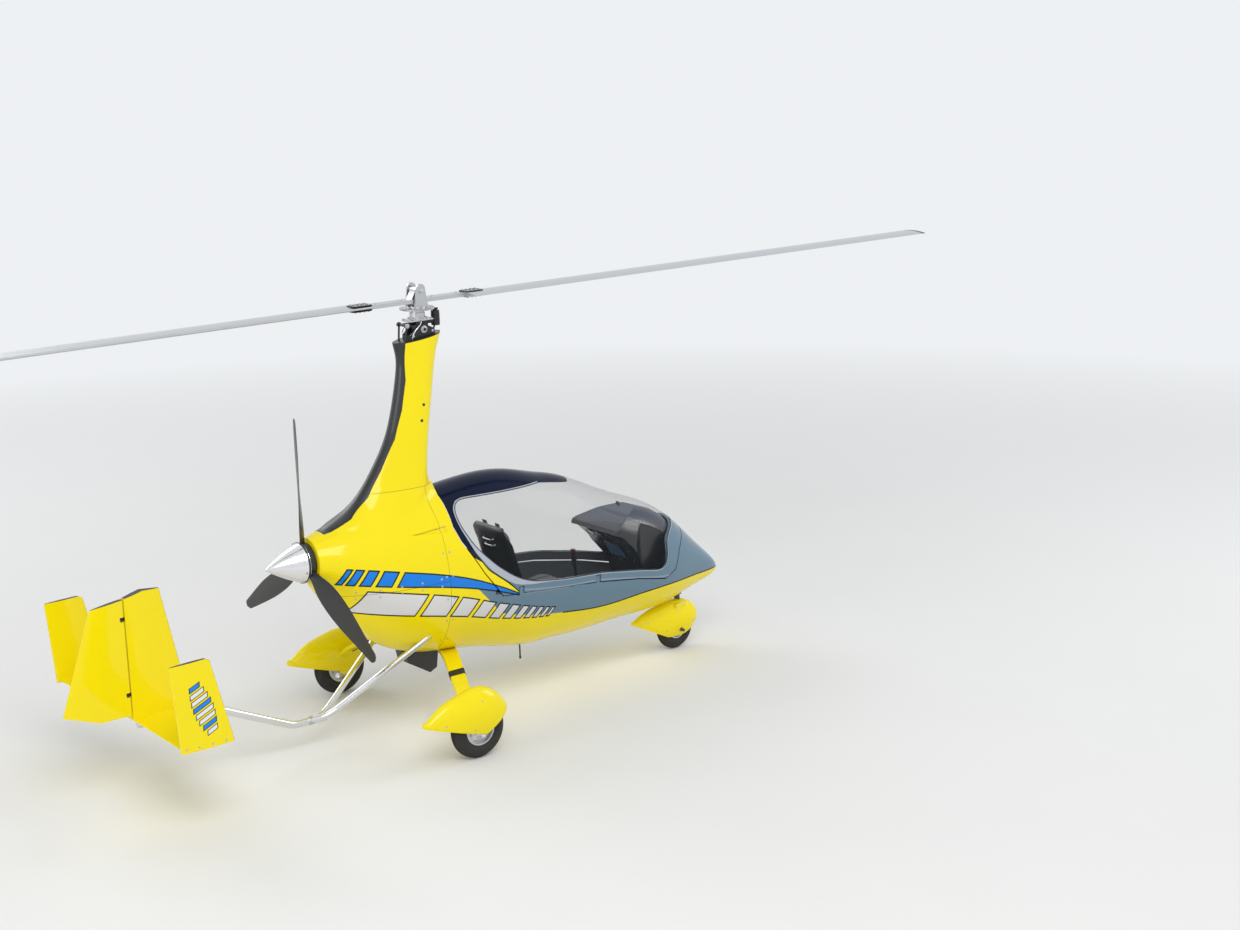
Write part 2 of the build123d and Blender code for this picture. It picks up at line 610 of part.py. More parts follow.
# Fixed head on the mast: side plates, gimbal block on its pitch bolt, roll tube, control bar and push rods
plate_line = [(-82, HEAD_FOOT_Z), (90, HEAD_FOOT_Z), (90, 2430), (44, 2452), (-18, 2452), (-82, 2404)]
pitch_ends = [(PITCH_BOLT_X, side * HEAD_PLATE_HALF, PITCH_BOLT_Z) for side in (-1, 1)]
head = side_region(plate_line, HEAD_PLATE_HALF, corner=8) + rod(*pitch_ends, PITCH_BOSS_R)
plate_in = HEAD_PLATE_HALF - HEAD_PLATE_THICK
head -= slab((-FAR, -plate_in, 2400), (FAR, plate_in, FAR))
head += slab((PITCH_BOLT_X - 44, -GIMBAL_HALF, 2406), (PITCH_BOLT_X + 40, GIMBAL_HALF, GIMBAL_TOP_Z))
bolt_half = HEAD_PLATE_HALF + 12
head += rod((PITCH_BOLT_X, -bolt_half, PITCH_BOLT_Z), (PITCH_BOLT_X, bolt_half, PITCH_BOLT_Z), PITCH_BOLT_R)
head += rod((CONTROL_BAR_X, 0, ROLL_TUBE_Z), (ROLL_TUBE_FRONT_X, 0, ROLL_TUBE_Z), ROLL_TUBE_R)
head += rod((CONTROL_BAR_X, -CONTROL_BAR_HALF, ROLL_TUBE_Z), (CONTROL_BAR_X, CONTROL_BAR_HALF, ROLL_TUBE_Z),
            CONTROL_BAR_R)
for side in (-1, 1):
    eye = (CONTROL_BAR_X, side * CONTROL_ROD_Y, ROLL_TUBE_Z)
    head += rod(eye, (CONTROL_BAR_X - 14, side * 36, HEAD_FOOT_Z), CONTROL_ROD_R)
    head += rod((CONTROL_BAR_X, side * (CONTROL_ROD_Y - 7), ROLL_TUBE_Z),
                (CONTROL_BAR_X, side * (CONTROL_ROD_Y + 7), ROLL_TUBE_Z), ROD_END_R)
parts["head_base"] = head - upper_mast

# Torque plate and stepped bearing housing
length, width, thick = TORQUE_PLATE
housing = Pos(2, 0, GIMBAL_TOP_Z) * extrude(RectangleRounded(length, width, TORQUE_PLATE_CORNER), thick)
steps = [(HOUSING_FLANGE_R, HOUSING_FLANGE_THICK), (HOUSING_R, HOUSING_CAP_Z - GIMBAL_TOP_Z - thick),
         (HOUSING_CAP_R, RING_GEAR_Z - SWING_GAP - GIMBAL_TOP_Z - thick)]
for radius, height in steps:
    housing += Pos(0, 0, GIMBAL_TOP_Z + thick + height / 2) * Cylinder(radius, height)
housing -= Pos(0, 0, GIMBAL_TOP_Z) * Cylinder(HEAD_SHAFT_R + RUNNING_GAP, 400)
parts["bearing_housing"] = housing

# Spin-up motor on its arm, with its pinion parked just below the ring gear
motor = rod((MOTOR_X, 0, MOTOR_LOW_Z), (MOTOR_X, 0, MOTOR_HIGH_Z), MOTOR_R)
motor += slab((ROLL_TUBE_FRONT_X, -ROLL_TUBE_R, ROLL_TUBE_Z - ROLL_TUBE_R),
              (MOTOR_X, ROLL_TUBE_R, ROLL_TUBE_Z + ROLL_TUBE_R))
pinion_low = RING_GEAR_Z - SWING_GAP - PINION_THICK
motor += rod((MOTOR_X, 0, MOTOR_HIGH_Z), (MOTOR_X, 0, pinion_low), PINION_R - TOOTH_DEPTH)
motor += Pos(MOTOR_X, 0, pinion_low) * gear(PINION_TEETH, PINION_R, PINION_THICK)
parts["spin_up_motor"] = motor

# Turning head: shaft, ring gear, flange, two rounded cheeks and the teeter bolt
gear_top = RING_GEAR_Z + RING_GEAR_THICK
flange_top = gear_top + TOWER_FLANGE_THICK
cheek_out = CHEEK_IN + CHEEK_THICK
top_z = TOWER_TOP_Z - CHEEK_TOP_R
cheek_line = [(-46, flange_top - 1), (46, flange_top - 1), (CHEEK_TOP_R, top_z), (-CHEEK_TOP_R, top_z)]
tower = side_region(cheek_line, cheek_out)
tower += rod((0, -cheek_out, top_z), (0, cheek_out, top_z), CHEEK_TOP_R)
tower -= slab((-FAR, -CHEEK_IN, flange_top - 2), (FAR, CHEEK_IN, FAR))
tower += Pos(0, 0, RING_GEAR_Z) * gear(RING_GEAR_TEETH, RING_GEAR_R, RING_GEAR_THICK)
tower += rod((0, 0, GIMBAL_TOP_Z + 10), (0, 0, RING_GEAR_Z), HEAD_SHAFT_R)
tower += rod((0, 0, gear_top), (0, 0, flange_top), TOWER_FLANGE_R)
tower += rod((0, -cheek_out - 6, TEETER_Z), (0, cheek_out + 6, TEETER_Z), TEETER_BOLT_R)
parts["rotor_tower"] = tower

# Teetering hub bar with its block, blade clamps, and the two blades
bar = slab((-HUB_BAR_HALF, -HUB_BAR_WIDTH / 2, BLADE_Z - HUB_BAR_THICK / 2),
           (HUB_BAR_HALF, HUB_BAR_WIDTH / 2, BLADE_Z + HUB_BAR_THICK / 2))
bar += side_region([(-60, BLADE_Z), (60, BLADE_Z), (24, TEETER_Z), (-24, TEETER_Z)], HUB_BLOCK_HALF)
bar += rod((0, -HUB_BLOCK_HALF, TEETER_Z), (0, HUB_BLOCK_HALF, TEETER_Z), 24)
bar += rod((0, RUNNING_GAP - CHEEK_IN, TEETER_Z), (0, CHEEK_IN - RUNNING_GAP, TEETER_Z), 18)
bar -= rod((0, -CHEEK_IN, TEETER_Z), (0, CHEEK_IN, TEETER_Z), TEETER_BOLT_R + RUNNING_GAP)
clamp_length, clamp_width, clamp_thick = BLADE_CLAMP
clamp = extrude(RectangleRounded(clamp_length, clamp_width, BLADE_CLAMP_CORNER), clamp_thick)
for way in (-1, 1):
    for low in (BLADE_Z + HUB_BAR_THICK / 2, BLADE_Z - HUB_BAR_THICK / 2 - clamp_thick):
        bar += Pos(way * BLADE_CLAMP_X, 0, low) * clamp
parts["rotor_hub_bar"] = bar
blade_face = Plane(origin=(BLADE_ROOT_X, 0, BLADE_Z), x_dir=(0, 1, 0), z_dir=(1, 0, 0))
blade = extrude(blade_face * foil(50, 50 - ROTOR_CHORD, ROTOR_THICK / 2, 8, 1), ROTOR_R - BLADE_ROOT_X) - bar
parts["rotor_blade_front"] = blade
parts["rotor_blade_rear"] = Rot(0, 0, 180) * blade

# Propeller: hub and shaft, three twisted blades, spinner cone
hub = rod((SPINNER_BASE_X, 0, THRUST_Z), (BODY[0].x - SWING_GAP, 0, THRUST_Z), PROP_HUB_R)
hub += rod((SPINNER_BASE_X, 0, THRUST_Z), (-610, 0, THRUST_Z), PROP_SHAFT_R)
BladeRow = namedtuple("BladeRow", "r chord thick pitch")
PROP_BLADE = [
    BladeRow(96, 40, 30, 60),
    BladeRow(150, 58, 27, 48),
    BladeRow(260, 116, 20, 38),
    BladeRow(520, 128, 14, 25),
    BladeRow(PROP_R, 62, 6, 16),
]
cone = [
    Line((SPINNER_BASE_X, 0), (SPINNER_BASE_X, SPINNER_R)),
    ThreePointArc((SPINNER_BASE_X, SPINNER_R), (-1012, 72), (SPINNER_TIP_X, SPINNER_NOSE_R)),
    Line((SPINNER_TIP_X, SPINNER_NOSE_R), (SPINNER_TIP_X, 0)),
    Line((SPINNER_TIP_X, 0), (SPINNER_BASE_X, 0)),
]
spinner = Pos(0, 0, THRUST_Z) * revolve(make_face(cone), Axis.X)
blade_sections = []
for row in PROP_BLADE:
    turn = math.radians(row.pitch)
    along = (math.sin(turn), math.cos(turn), 0)
    plane = Plane(origin=(PROP_X, 0, THRUST_Z + row.r), x_dir=along, z_dir=(0, 0, 1))
    blade_sections.append(plane * foil(row.chord / 2, -row.chord / 2, row.thick / 2, row.thick / 5, 1))
prop_blade = loft(blade_sections)
blades = None
for count in range(PROP_BLADES):
    turned = Pos(0, 0, THRUST_Z) * Rot(360 / PROP_BLADES * count, 0, 0) * Pos(0, 0, -THRUST_Z) * prop_blade
    turned = turned - hub - spinner
    blades = turned if blades is None else blades + turned
parts["propeller_hub"] = hub
parts["propeller_blades"] = blades
parts["spinner"] = spinner

# Cabin furniture
seat_profile_front = [
    (560, 640), (600, 600), (980, 640), (1000, 690), (700, 668), (650, 690), (500, 1120), (470, 1142),
    (430, 1138), (420, 1110),
]
seat_profile_rear = [
    (60, 660), (100, 620), (480, 660), (500, 710), (210, 690), (150, 720), (30, 1190), (0, 1210), (-45, 1205),
    (-55, 1180),
]
for name, outline in (("front", seat_profile_front), ("rear", seat_profile_rear)):
    shell_seat = side_region(outline, SEAT_HALF)
    base_x = outline[0][0]
    base = slab((base_x + 40, -SEAT_BASE_HALF, FLOOR_Z + FLOOR_THICK),
                (base_x + 380, SEAT_BASE_HALF, outline[2][1] + 20)) - shell_seat
    under = side_region([(base_x, 400), (base_x + 30, outline[1][1] + 2), (base_x + 420, outline[2][1]),
                         (base_x + 420, 400)])
    parts["seat_" + name] = shell_seat + (base & under)

hood_outline = [(1262, 952), (1272, 980), (1430, 1045), (1558, 1072), (1680, 1030), (1762, 973), (1800, 860),
                (1800, 640), (1640, 560), (1560, 560), (1500, 700), (1400, 850), (1310, 935)]
hood_half_plan = [(1200, HOOD_HALF), (1430, HOOD_HALF), (1500, HOOD_NOSE_HALF), (1850, HOOD_NOSE_HALF)]
hood_plan = Polyline(hood_half_plan + [(x, -y) for x, y in hood_half_plan[::-1]], close=True)
hood = side_region(hood_outline, HOOD_HALF) & body_skin(HOOD_INSET) & extrude(make_face(hood_plan), FAR)
pillar = slab((1570, -110, FLOOR_Z + FLOOR_THICK), (1700, 110, 700))
parts["instrument_hood"] = hood + pillar

stick_foot = FLOOR_Z + FLOOR_THICK
stick = rod((1130, 0, stick_foot + 20), (1100, 0, 760), STICK_R) + rod((1102, 0, 740), (1090, 0, 850), GRIP_R)
stick += Pos(1130, 0, stick_foot + 15) * Cylinder(32, 30)
parts["control_stick"] = stick

# Under the belly: cooling scoop with its open mouth, and aerial
scoop = side_region([(-250, 470), (-235, 400), (-80, 306), (-30, 330), (-10, 470)], SCOOP_HALF) - outer - bow
mouth_x = -30 - SCOOP_MOUTH_DEPTH
mouth_line = [(mouth_x, 332), (mouth_x, 470), (40, 470), (40, 345), (-30, 341)]
mouth = side_region(mouth_line, SCOOP_HALF - SCOOP_WALL)
parts["belly_scoop"] = scoop - mouth
parts["belly_aerial"] = rod((640, 0, 400), (640, 0, 215), AERIAL_R) - outer

os.makedirs("parts", exist_ok=True)
for node, shape in parts.items():
    export_step(shape, "parts/" + node + ".step")
    box = shape.bounding_box()
    print(node, round(shape.volume), [round(value) for value in (*box.min, *box.max)])
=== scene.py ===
"""Looks of an enclosed two-seat gyrocopter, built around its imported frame. Metres, Z up, +X the nose."""
from __future__ import annotations

import json
import logging
import math
from dataclasses import dataclass
from enum import Enum
from functools import reduce
from typing import Callable, Iterable, Sequence

import bmesh
import bpy
from mathutils import Matrix, Vector
from mathutils.bvhtree import BVHTree

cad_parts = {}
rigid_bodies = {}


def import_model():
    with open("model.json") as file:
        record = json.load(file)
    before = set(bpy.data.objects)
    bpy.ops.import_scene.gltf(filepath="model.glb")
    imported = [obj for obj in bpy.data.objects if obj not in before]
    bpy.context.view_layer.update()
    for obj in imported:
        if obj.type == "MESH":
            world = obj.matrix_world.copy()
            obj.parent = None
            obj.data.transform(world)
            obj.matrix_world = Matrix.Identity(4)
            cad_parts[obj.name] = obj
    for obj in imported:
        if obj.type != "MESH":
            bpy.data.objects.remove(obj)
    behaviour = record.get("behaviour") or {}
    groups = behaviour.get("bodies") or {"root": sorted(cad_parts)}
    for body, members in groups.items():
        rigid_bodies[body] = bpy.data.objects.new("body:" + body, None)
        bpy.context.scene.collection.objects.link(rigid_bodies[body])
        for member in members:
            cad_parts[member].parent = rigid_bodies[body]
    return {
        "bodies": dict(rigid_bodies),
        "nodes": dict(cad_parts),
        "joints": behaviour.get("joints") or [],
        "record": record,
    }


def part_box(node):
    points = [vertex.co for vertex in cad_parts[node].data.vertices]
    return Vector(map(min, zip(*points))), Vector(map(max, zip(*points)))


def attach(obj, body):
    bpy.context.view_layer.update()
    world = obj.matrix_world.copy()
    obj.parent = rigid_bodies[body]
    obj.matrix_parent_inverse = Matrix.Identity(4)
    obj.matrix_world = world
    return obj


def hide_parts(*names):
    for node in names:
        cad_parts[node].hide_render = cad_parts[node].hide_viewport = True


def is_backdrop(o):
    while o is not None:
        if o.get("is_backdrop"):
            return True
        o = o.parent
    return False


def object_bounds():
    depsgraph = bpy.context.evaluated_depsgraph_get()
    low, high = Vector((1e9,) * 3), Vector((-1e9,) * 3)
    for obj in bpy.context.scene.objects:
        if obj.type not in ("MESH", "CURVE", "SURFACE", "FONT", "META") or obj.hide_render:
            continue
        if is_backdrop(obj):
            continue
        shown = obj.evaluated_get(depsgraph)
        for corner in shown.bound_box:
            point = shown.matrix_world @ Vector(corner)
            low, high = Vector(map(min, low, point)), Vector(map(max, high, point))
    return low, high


log = logging.getLogger("gyrocopter")

Point = tuple[float, float, float]
Color = tuple[float, float, float]
# Corners (x, z) of a line in side view, or rows of a place and a value
Line = tuple[tuple[float, float], ...]

YELLOW: Color = (0.93, 0.76, 0.004)
BLUE_GREY: Color = (0.135, 0.225, 0.300)
SILVER_GREY: Color = (0.44, 0.48, 0.56)
NAVY: Color = (0.004, 0.008, 0.030)
SKY_BLUE: Color = (0.010, 0.240, 0.870)
WHITE: Color = (0.80, 0.80, 0.82)
BLACK: Color = (0.006, 0.006, 0.007)

# The joints of the rear cowls: the upright one, the level one and the foot of the mast
COWL_JOINT_X = -0.082
COWL_JOINT_Z = 0.950
MAST_JOINT_Z = 1.500


class Side(Enum):
    """The two sides of the aircraft, as the sign of Y."""

    LEFT = 1
    RIGHT = -1


class Sock:
    """A socket of a node tree, whose Python operators add Math nodes."""

    def __init__(self, nodes: Nodes, socket: bpy.types.NodeSocket) -> None:
        """Keeps the socket and the tree that it is in."""
        self.nodes = nodes
        self.socket = socket

    def output(self, key: int | str) -> Sock:
        """Another output of the same node."""
        return Sock(self.nodes, self.socket.node.outputs[key])

    def __add__(self, other: Sock | float) -> Sock:
        """This plus other."""
        return self.nodes.math("ADD", self, other)

    def __sub__(self, other: Sock | float) -> Sock:
        """This minus other."""
        return self.nodes.math("SUBTRACT", self, other)

    def __rsub__(self, other: float) -> Sock:
        """A number minus this."""
        return self.nodes.math("SUBTRACT", other, self)

    def __mul__(self, other: Sock | float) -> Sock:
        """This times other."""
        return self.nodes.math("MULTIPLY", self, other)

    __radd__ = __add__
    __rmul__ = __mul__

    def absolute(self) -> Sock:
        """The size of the value without its sign."""
        return self.nodes.math("ABSOLUTE", self)

    def power(self, exponent: float) -> Sock:
        """This raised to a power."""
        return self.nodes.math("POWER", self, exponent)

    def sine(self) -> Sock:
        """The sine of this, in radians."""
        return self.nodes.math("SINE", self)

    def above(self, edge: float, soft: float = 0.0015) -> Sock:
        """One where this is over edge, zero under it, with a soft step of that half width."""
        limits = {"From Min": edge - soft, "From Max": edge + soft}
        return self.nodes.node("ShaderNodeMapRange", {"clamp": True}, Value=self, **limits)

    def below(self, edge: float, soft: float = 0.0015) -> Sock:
        """One where this is under edge."""
        return 1.0 - self.above(edge, soft)

    def near(self, middle: float, half: float, soft: float = 0.0008) -> Sock:
        """One within half of the middle value."""
        return (self - middle).absolute().below(half, soft)


class Nodes:
    """A node tree while it is made, with the one way to add a node to it."""

    def __init__(self, tree: bpy.types.NodeTree) -> None:
        """Keeps the tree."""
        self.tree = tree

    def node(self, kind: str, settings: dict | None = None, output: int = 0, **sockets: object) -> Sock:
        """Adds a node.

        Args:
            kind: The node's type.
            settings: What is set on the node first. "points" fills a float curve.
            output: Which output to return.
            sockets: The values or links of its sockets, by name. "values" fills the sockets in order.

        Returns:
            The chosen output.
        """
        made = self.tree.nodes.new(kind)
        for key, value in (settings or {}).items():
            if key == "points":
                self.bend(made, value)
            else:
                setattr(made, key, value)
        for index, value in enumerate(sockets.pop("values", ())):
            self.join(made.inputs[index], value)
        for key, value in sockets.items():
            self.join(made.inputs[key], value)
        return Sock(self, made.outputs[output])

    def bend(self, curve: bpy.types.Node, points: Sequence[tuple[float, float]]) -> None:
        """Fills a float curve.

        Args:
            curve: The node, which starts with two points.
            points: (place, value) of each point.
        """
        held = curve.mapping.curves[0].points
        for index, (place, value) in enumerate(points):
            if index < 2:
                held[index].location = (place, value)
            else:
                held.new(place, value)
        curve.mapping.update()

    def join(self, socket: bpy.types.NodeSocket, value: object) -> None:
        """Links a Sock to a socket, or sets the socket's own value.

        Args:
            socket: The input.
            value: A Sock, a number, a vector or a colour.
        """
        if isinstance(value, Sock):
            self.tree.links.new(value.socket, socket)
        elif socket.type == "RGBA":
            socket.default_value = (*value, 1.0)
        else:
            socket.default_value = value

    def math(self, operation: str, *values: Sock | float) -> Sock:
        """Adds a Math node on the given values."""
        return self.node("ShaderNodeMath", {"operation": operation}, values=values)

    def largest(self, values: Iterable[Sock]) -> Sock:
        """The largest of some values, such as several masks in one."""
        return reduce(lambda held, value: self.math("MAXIMUM", held, value), values)

    def background_rays(self) -> Sock:
        """One for the rays that see the background: from the camera, off metal and through glass."""
        rays = self.node("ShaderNodeLightPath")
        return self.largest(rays.output(f"Is {kind} Ray") for kind in ("Camera", "Glossy", "Transmission"))


class Shader(Nodes):
    """One material while it is made, with its principled shader."""

    # Float curves run from 0 to 1, so the heights in them are shares of this one
    LINE_TOP_Z = 2.0

    def __init__(self, name: str) -> None:
        """Starts an empty principled material.

        Args:
            name: Its name.
        """
        self.material = bpy.data.materials.new(name)
        self.material.use_nodes = True
        super().__init__(self.material.node_tree)
        self.surface = self.tree.nodes["Principled BSDF"]
        self.place = self.node("ShaderNodeTexCoord", output=3)

    def split(self, vector: Sock) -> tuple[Sock, Sock, Sock]:
        """The X, Y and Z of a vector."""
        x = self.node("ShaderNodeSeparateXYZ", values=(vector,))
        return x, x.output(1), x.output(2)

    def axes(self) -> tuple[Sock, Sock, Sock]:
        """The X, Y and Z of the object coordinates, in metres of the aircraft's frame."""
        return self.split(self.place)

    def noise(self, scale: float, detail: float = 3.0, rough: float = 0.5,
              stretch: Point = (1, 1, 1)) -> Sock:
        """Grey noise of a scale per metre over the object coordinates, from 0 to 1."""
        spot = self.node("ShaderNodeMapping", Vector=self.place, Scale=stretch)
        return self.node("ShaderNodeTexNoise", Vector=spot, Scale=scale, Detail=detail, Roughness=rough)

    def mix(self, factor: Sock | float, low: Sock | Color, high: Sock | Color) -> Sock:
        """Mixes two colours.

        Args:
            factor: 0 for the low colour, 1 for the high one.
            low: The first colour.
            high: The second colour.

        Returns:
            The mixed colour.
        """
        made = self.node("ShaderNodeMix", {"data_type": "RGBA"}, output=2)
        inputs = made.socket.node.inputs
        for index, value in ((0, factor), (6, low), (7, high)):
            self.join(inputs[index], value)
        return made

    def line(self, x: Sock, points: Line) -> Sock:
        """The height of a smooth side view line above each X.

        Args:
            x: The place along the aircraft.
            points: (x, z) corners of the line in metres, from tail to nose.

        Returns:
            The height of the line.
        """
        first, last = points[0][0], points[-1][0]
        scaled = [((px - first) / (last - first), pz / self.LINE_TOP_Z) for px, pz in points]
        limits = {"From Min": first, "From Max": last}
        share = self.node("ShaderNodeMapRange", {"clamp": True}, Value=x, **limits)
        return self.node("ShaderNodeFloatCurve", {"points": scaled}, Value=share) * self.LINE_TOP_Z

    def set(self, **values: object) -> None:
        """Sets or links inputs of the principled shader, with spaces written as underscores."""
        for key, value in values.items():
            self.join(self.surface.inputs[key.replace("_", " ")], value)

    def linked(self, name: str) -> Sock:
        """What an input of the principled shader is linked to so far."""
        return Sock(self, self.surface.inputs[name].links[0].from_socket)

    def bump(self, height: Sock, strength: float, distance: float) -> None:
        """Feeds a bump of that height to the shader's normal."""
        self.set(Normal=self.node("ShaderNodeBump", Height=height, Strength=strength, Distance=distance))

    def light_where(self, mask: Sock, color: Color, strength: float) -> None:
        """Turns the surface into plain light where a mask is one.

        Args:
            mask: The mask.
            color: The colour of the light.
            strength: Its strength.
        """
        light = self.node("ShaderNodeEmission", Color=color, Strength=strength)
        surface = Sock(self, self.surface.outputs[0])
        mixed = self.node("ShaderNodeMixShader", values=(mask, surface, light))
        self.join(self.tree.nodes["Material Output"].inputs["Surface"], mixed)


@dataclass(frozen=True)
class Finish:
    """A plain finish: one colour with fine variation, and the record's slot that it belongs to."""

    name: str
    slot: str
    color: Color
    roughness: float = 0.4
    metallic: float = 0.0
    coat: float = 0.0
    shine: float = 0.5
    grain_scale: float = 60.0
    grain_depth: float = 0.0
    uneven: float = 0.06
    scuff: float = 0.08

    def build(self) -> bpy.types.Material:
        """Makes the material the first time, and finds it after that.

        Returns:
            The material.
        """
        found = bpy.data.materials.get(self.name)
        if found is not None:
            return found
        shader = Shader(self.name)
        shader.set(Metallic=self.metallic, Coat_Weight=self.coat, Coat_Roughness=0.04)
        shader.set(Specular_IOR_Level=self.shine)
        self.paint(shader)
        return shader.material

    def paint(self, shader: Shader) -> None:
        """Adds the colour, the gloss and the grain."""
        self.cover(shader, self.color)

    def cover(self, shader: Shader, color: Sock | Color) -> None:
        """Covers the surface with a faintly cloudy colour, an uneven gloss and a fine grain.

        Args:
            shader: The material.
            color: Its colour.
        """
        cloud = shader.noise(3.0, 4.0, 0.6)
        dark = shader.mix(1.0 - self.uneven, BLACK, color)
        shader.set(Base_Color=shader.mix(cloud, dark, color))
        wear = shader.noise(14.0, 6.0, 0.65)
        shader.set(Roughness=wear * self.scuff + (self.roughness - self.scuff / 2))
        if self.grain_depth:
            shader.bump(shader.noise(self.grain_scale, 4.0), 0.6, self.grain_depth)


@dataclass(frozen=True)
class GlossPaint(Finish):
    """High gloss paint over moulded composite, with the faint waviness of its clear coat."""

    roughness: float = 0.16
    coat: float = 0.38
    shine: float = 0.10
    grain_scale: float = 220.0
    grain_depth: float = 0.00006
    uneven: float = 0.05
    scuff: float = 0.05


@dataclass(frozen=True)
class Stripe:
    """A tapering band of slanted pieces in side view, with a dark outline round each piece and painted shade
    on its lower part.
    """

    color: Color
    # The middle of the band and its half height along the aircraft, from tail to nose
    middle: Line
    half: Line
    # First and last X of each piece
    pieces: Line
    slant: float = 0.62
    outline: float = 0.009
    # Painted shade: how much darker the colour is made lower down, and half the height over which it turns
    painted_shade_tone: float = 0.8
    painted_shade_half: float = 0.35

    def lay(self, shader: Shader, x: Sock, z: Sock, under: Sock | Color) -> Sock:
        """Lays the stripe on a colour, with painted shade on its lower part.

        Args:
            shader: The material.
            x: The place along the aircraft.
            z: The height.
            under: The colour under the stripe.

        Returns:
            The colour with the stripe on it.
        """
        rise = z - shader.line(x, self.middle)
        inside = shader.line(x, self.half) - rise.absolute()
        lean = x - rise * self.slant
        depths = []
        for first, last in self.pieces:
            across = (last - first) / 2 - (lean - (first + last) / 2).absolute()
            depths.append(shader.math("MINIMUM", across, inside))
        depth = shader.largest(depths)
        outlined = shader.mix(depth.above(-self.outline), under, BLACK)
        # Painted shade: the stripe is made darker where it runs lower on the body
        low = tuple(value * self.painted_shade_tone for value in self.color)
        tone = shader.mix(z.above(self.middle[0][1] - 0.05, self.painted_shade_half), low, self.color)
        return shader.mix(depth.above(0.0), outlined, tone)


@dataclass(frozen=True)
class BodyPaint(GlossPaint):
    """The livery of the body: yellow, blue-grey nose and sills, and two rows of slanted stripes with painted
    shade on their lower parts.
    """

    # Side view line (x, z) of the grey area's lower edge, from tail to nose
    GREY_LOW = ((0.12, 0.745), (0.30, 0.665), (0.55, 0.602), (0.823, 0.560), (1.10, 0.536), (1.50, 0.549),
                (1.92, 0.539), (2.16, 0.523), (2.31, 0.512))
    # The grey starts at the line x + slope * z = start, and above the blue stripe only from a place on
    GREY_SLOPE = 0.9
    GREY_START = 0.885
    GREY_FULL_X = 0.33
    # The pin line under the grey: where it starts and half its width
    PIN_X = 0.76
    PIN_HALF = 0.005
    STRIPES = (
        Stripe(SKY_BLUE, ((-0.80, 1.085), (-0.40, 1.015), (0.0, 0.925), (0.22, 0.850), (0.45, 0.750)),
               ((-0.80, 0.044), (-0.40, 0.040), (0.0, 0.028), (0.28, 0.011), (0.41, 0.0005)),
               ((-0.73, -0.71), (-0.68, -0.645), (-0.61, -0.56), (-0.52, -0.44), (-0.395, 0.40))),
        Stripe(WHITE, ((-0.80, 0.930), (-0.40, 0.860), (0.0, 0.770), (0.30, 0.680), (0.60, 0.610),
                       (0.80, 0.580)),
               ((-0.80, 0.068), (-0.30, 0.066), (0.30, 0.046), (0.80, 0.018)),
               ((-0.64, -0.28), (-0.235, -0.075), (-0.035, 0.075), (0.115, 0.200), (0.238, 0.300),
                (0.336, 0.384), (0.418, 0.456), (0.489, 0.519), (0.550, 0.574), (0.604, 0.623),
                (0.652, 0.667))),
    )
    # The black collar at the top of the mast follows its sloping rim
    COLLAR_SLOPE = 0.12
    COLLAR_Z = 2.379

    def paint(self, shader: Shader) -> None:
        """Adds the livery, its gloss and the joint lines between the panels.

        Args:
            shader: The material.
        """
        x, _, z = shader.axes()
        rise = z - shader.line(x, self.GREY_LOW)
        under_stripe = (z - shader.line(x, self.STRIPES[0].middle)).below(0.0)
        grey = rise.above(0.0) * (x + z * self.GREY_SLOPE).above(self.GREY_START)
        grey = grey * shader.largest((under_stripe, x.above(self.GREY_FULL_X)))
        color = shader.mix(grey, self.color, BLUE_GREY)
        color = shader.mix(rise.near(0.0, self.PIN_HALF) * x.above(self.PIN_X), color, BLACK)
        for stripe in self.STRIPES:
            color = stripe.lay(shader, x, z, color)
        color = shader.mix((z - x * self.COLLAR_SLOPE).above(self.COLLAR_Z), color, BLACK)
        joint = self.joints(shader, x, z)
        self.cover(shader, shader.mix(joint * 0.75, color, BLACK))
        shader.bump(shader.noise(self.grain_scale, 3.0) * 0.03 - joint, 0.7, 0.0012)

    def joints(self, shader: Shader, x: Sock, z: Sock) -> Sock:
        """A mask of the thin joint lines between the body panels.

        Args:
            shader: The material.
            x: The place along the aircraft.
            z: The height.

        Returns:
            The mask.
        """
        width = (0.0011, 0.0006)
        upright = x.near(COWL_JOINT_X, *width) * z.below(MAST_JOINT_Z)
        level = z.near(COWL_JOINT_Z, *width) * x.below(COWL_JOINT_X)
        return shader.largest((upright, level, z.near(MAST_JOINT_Z, *width)))


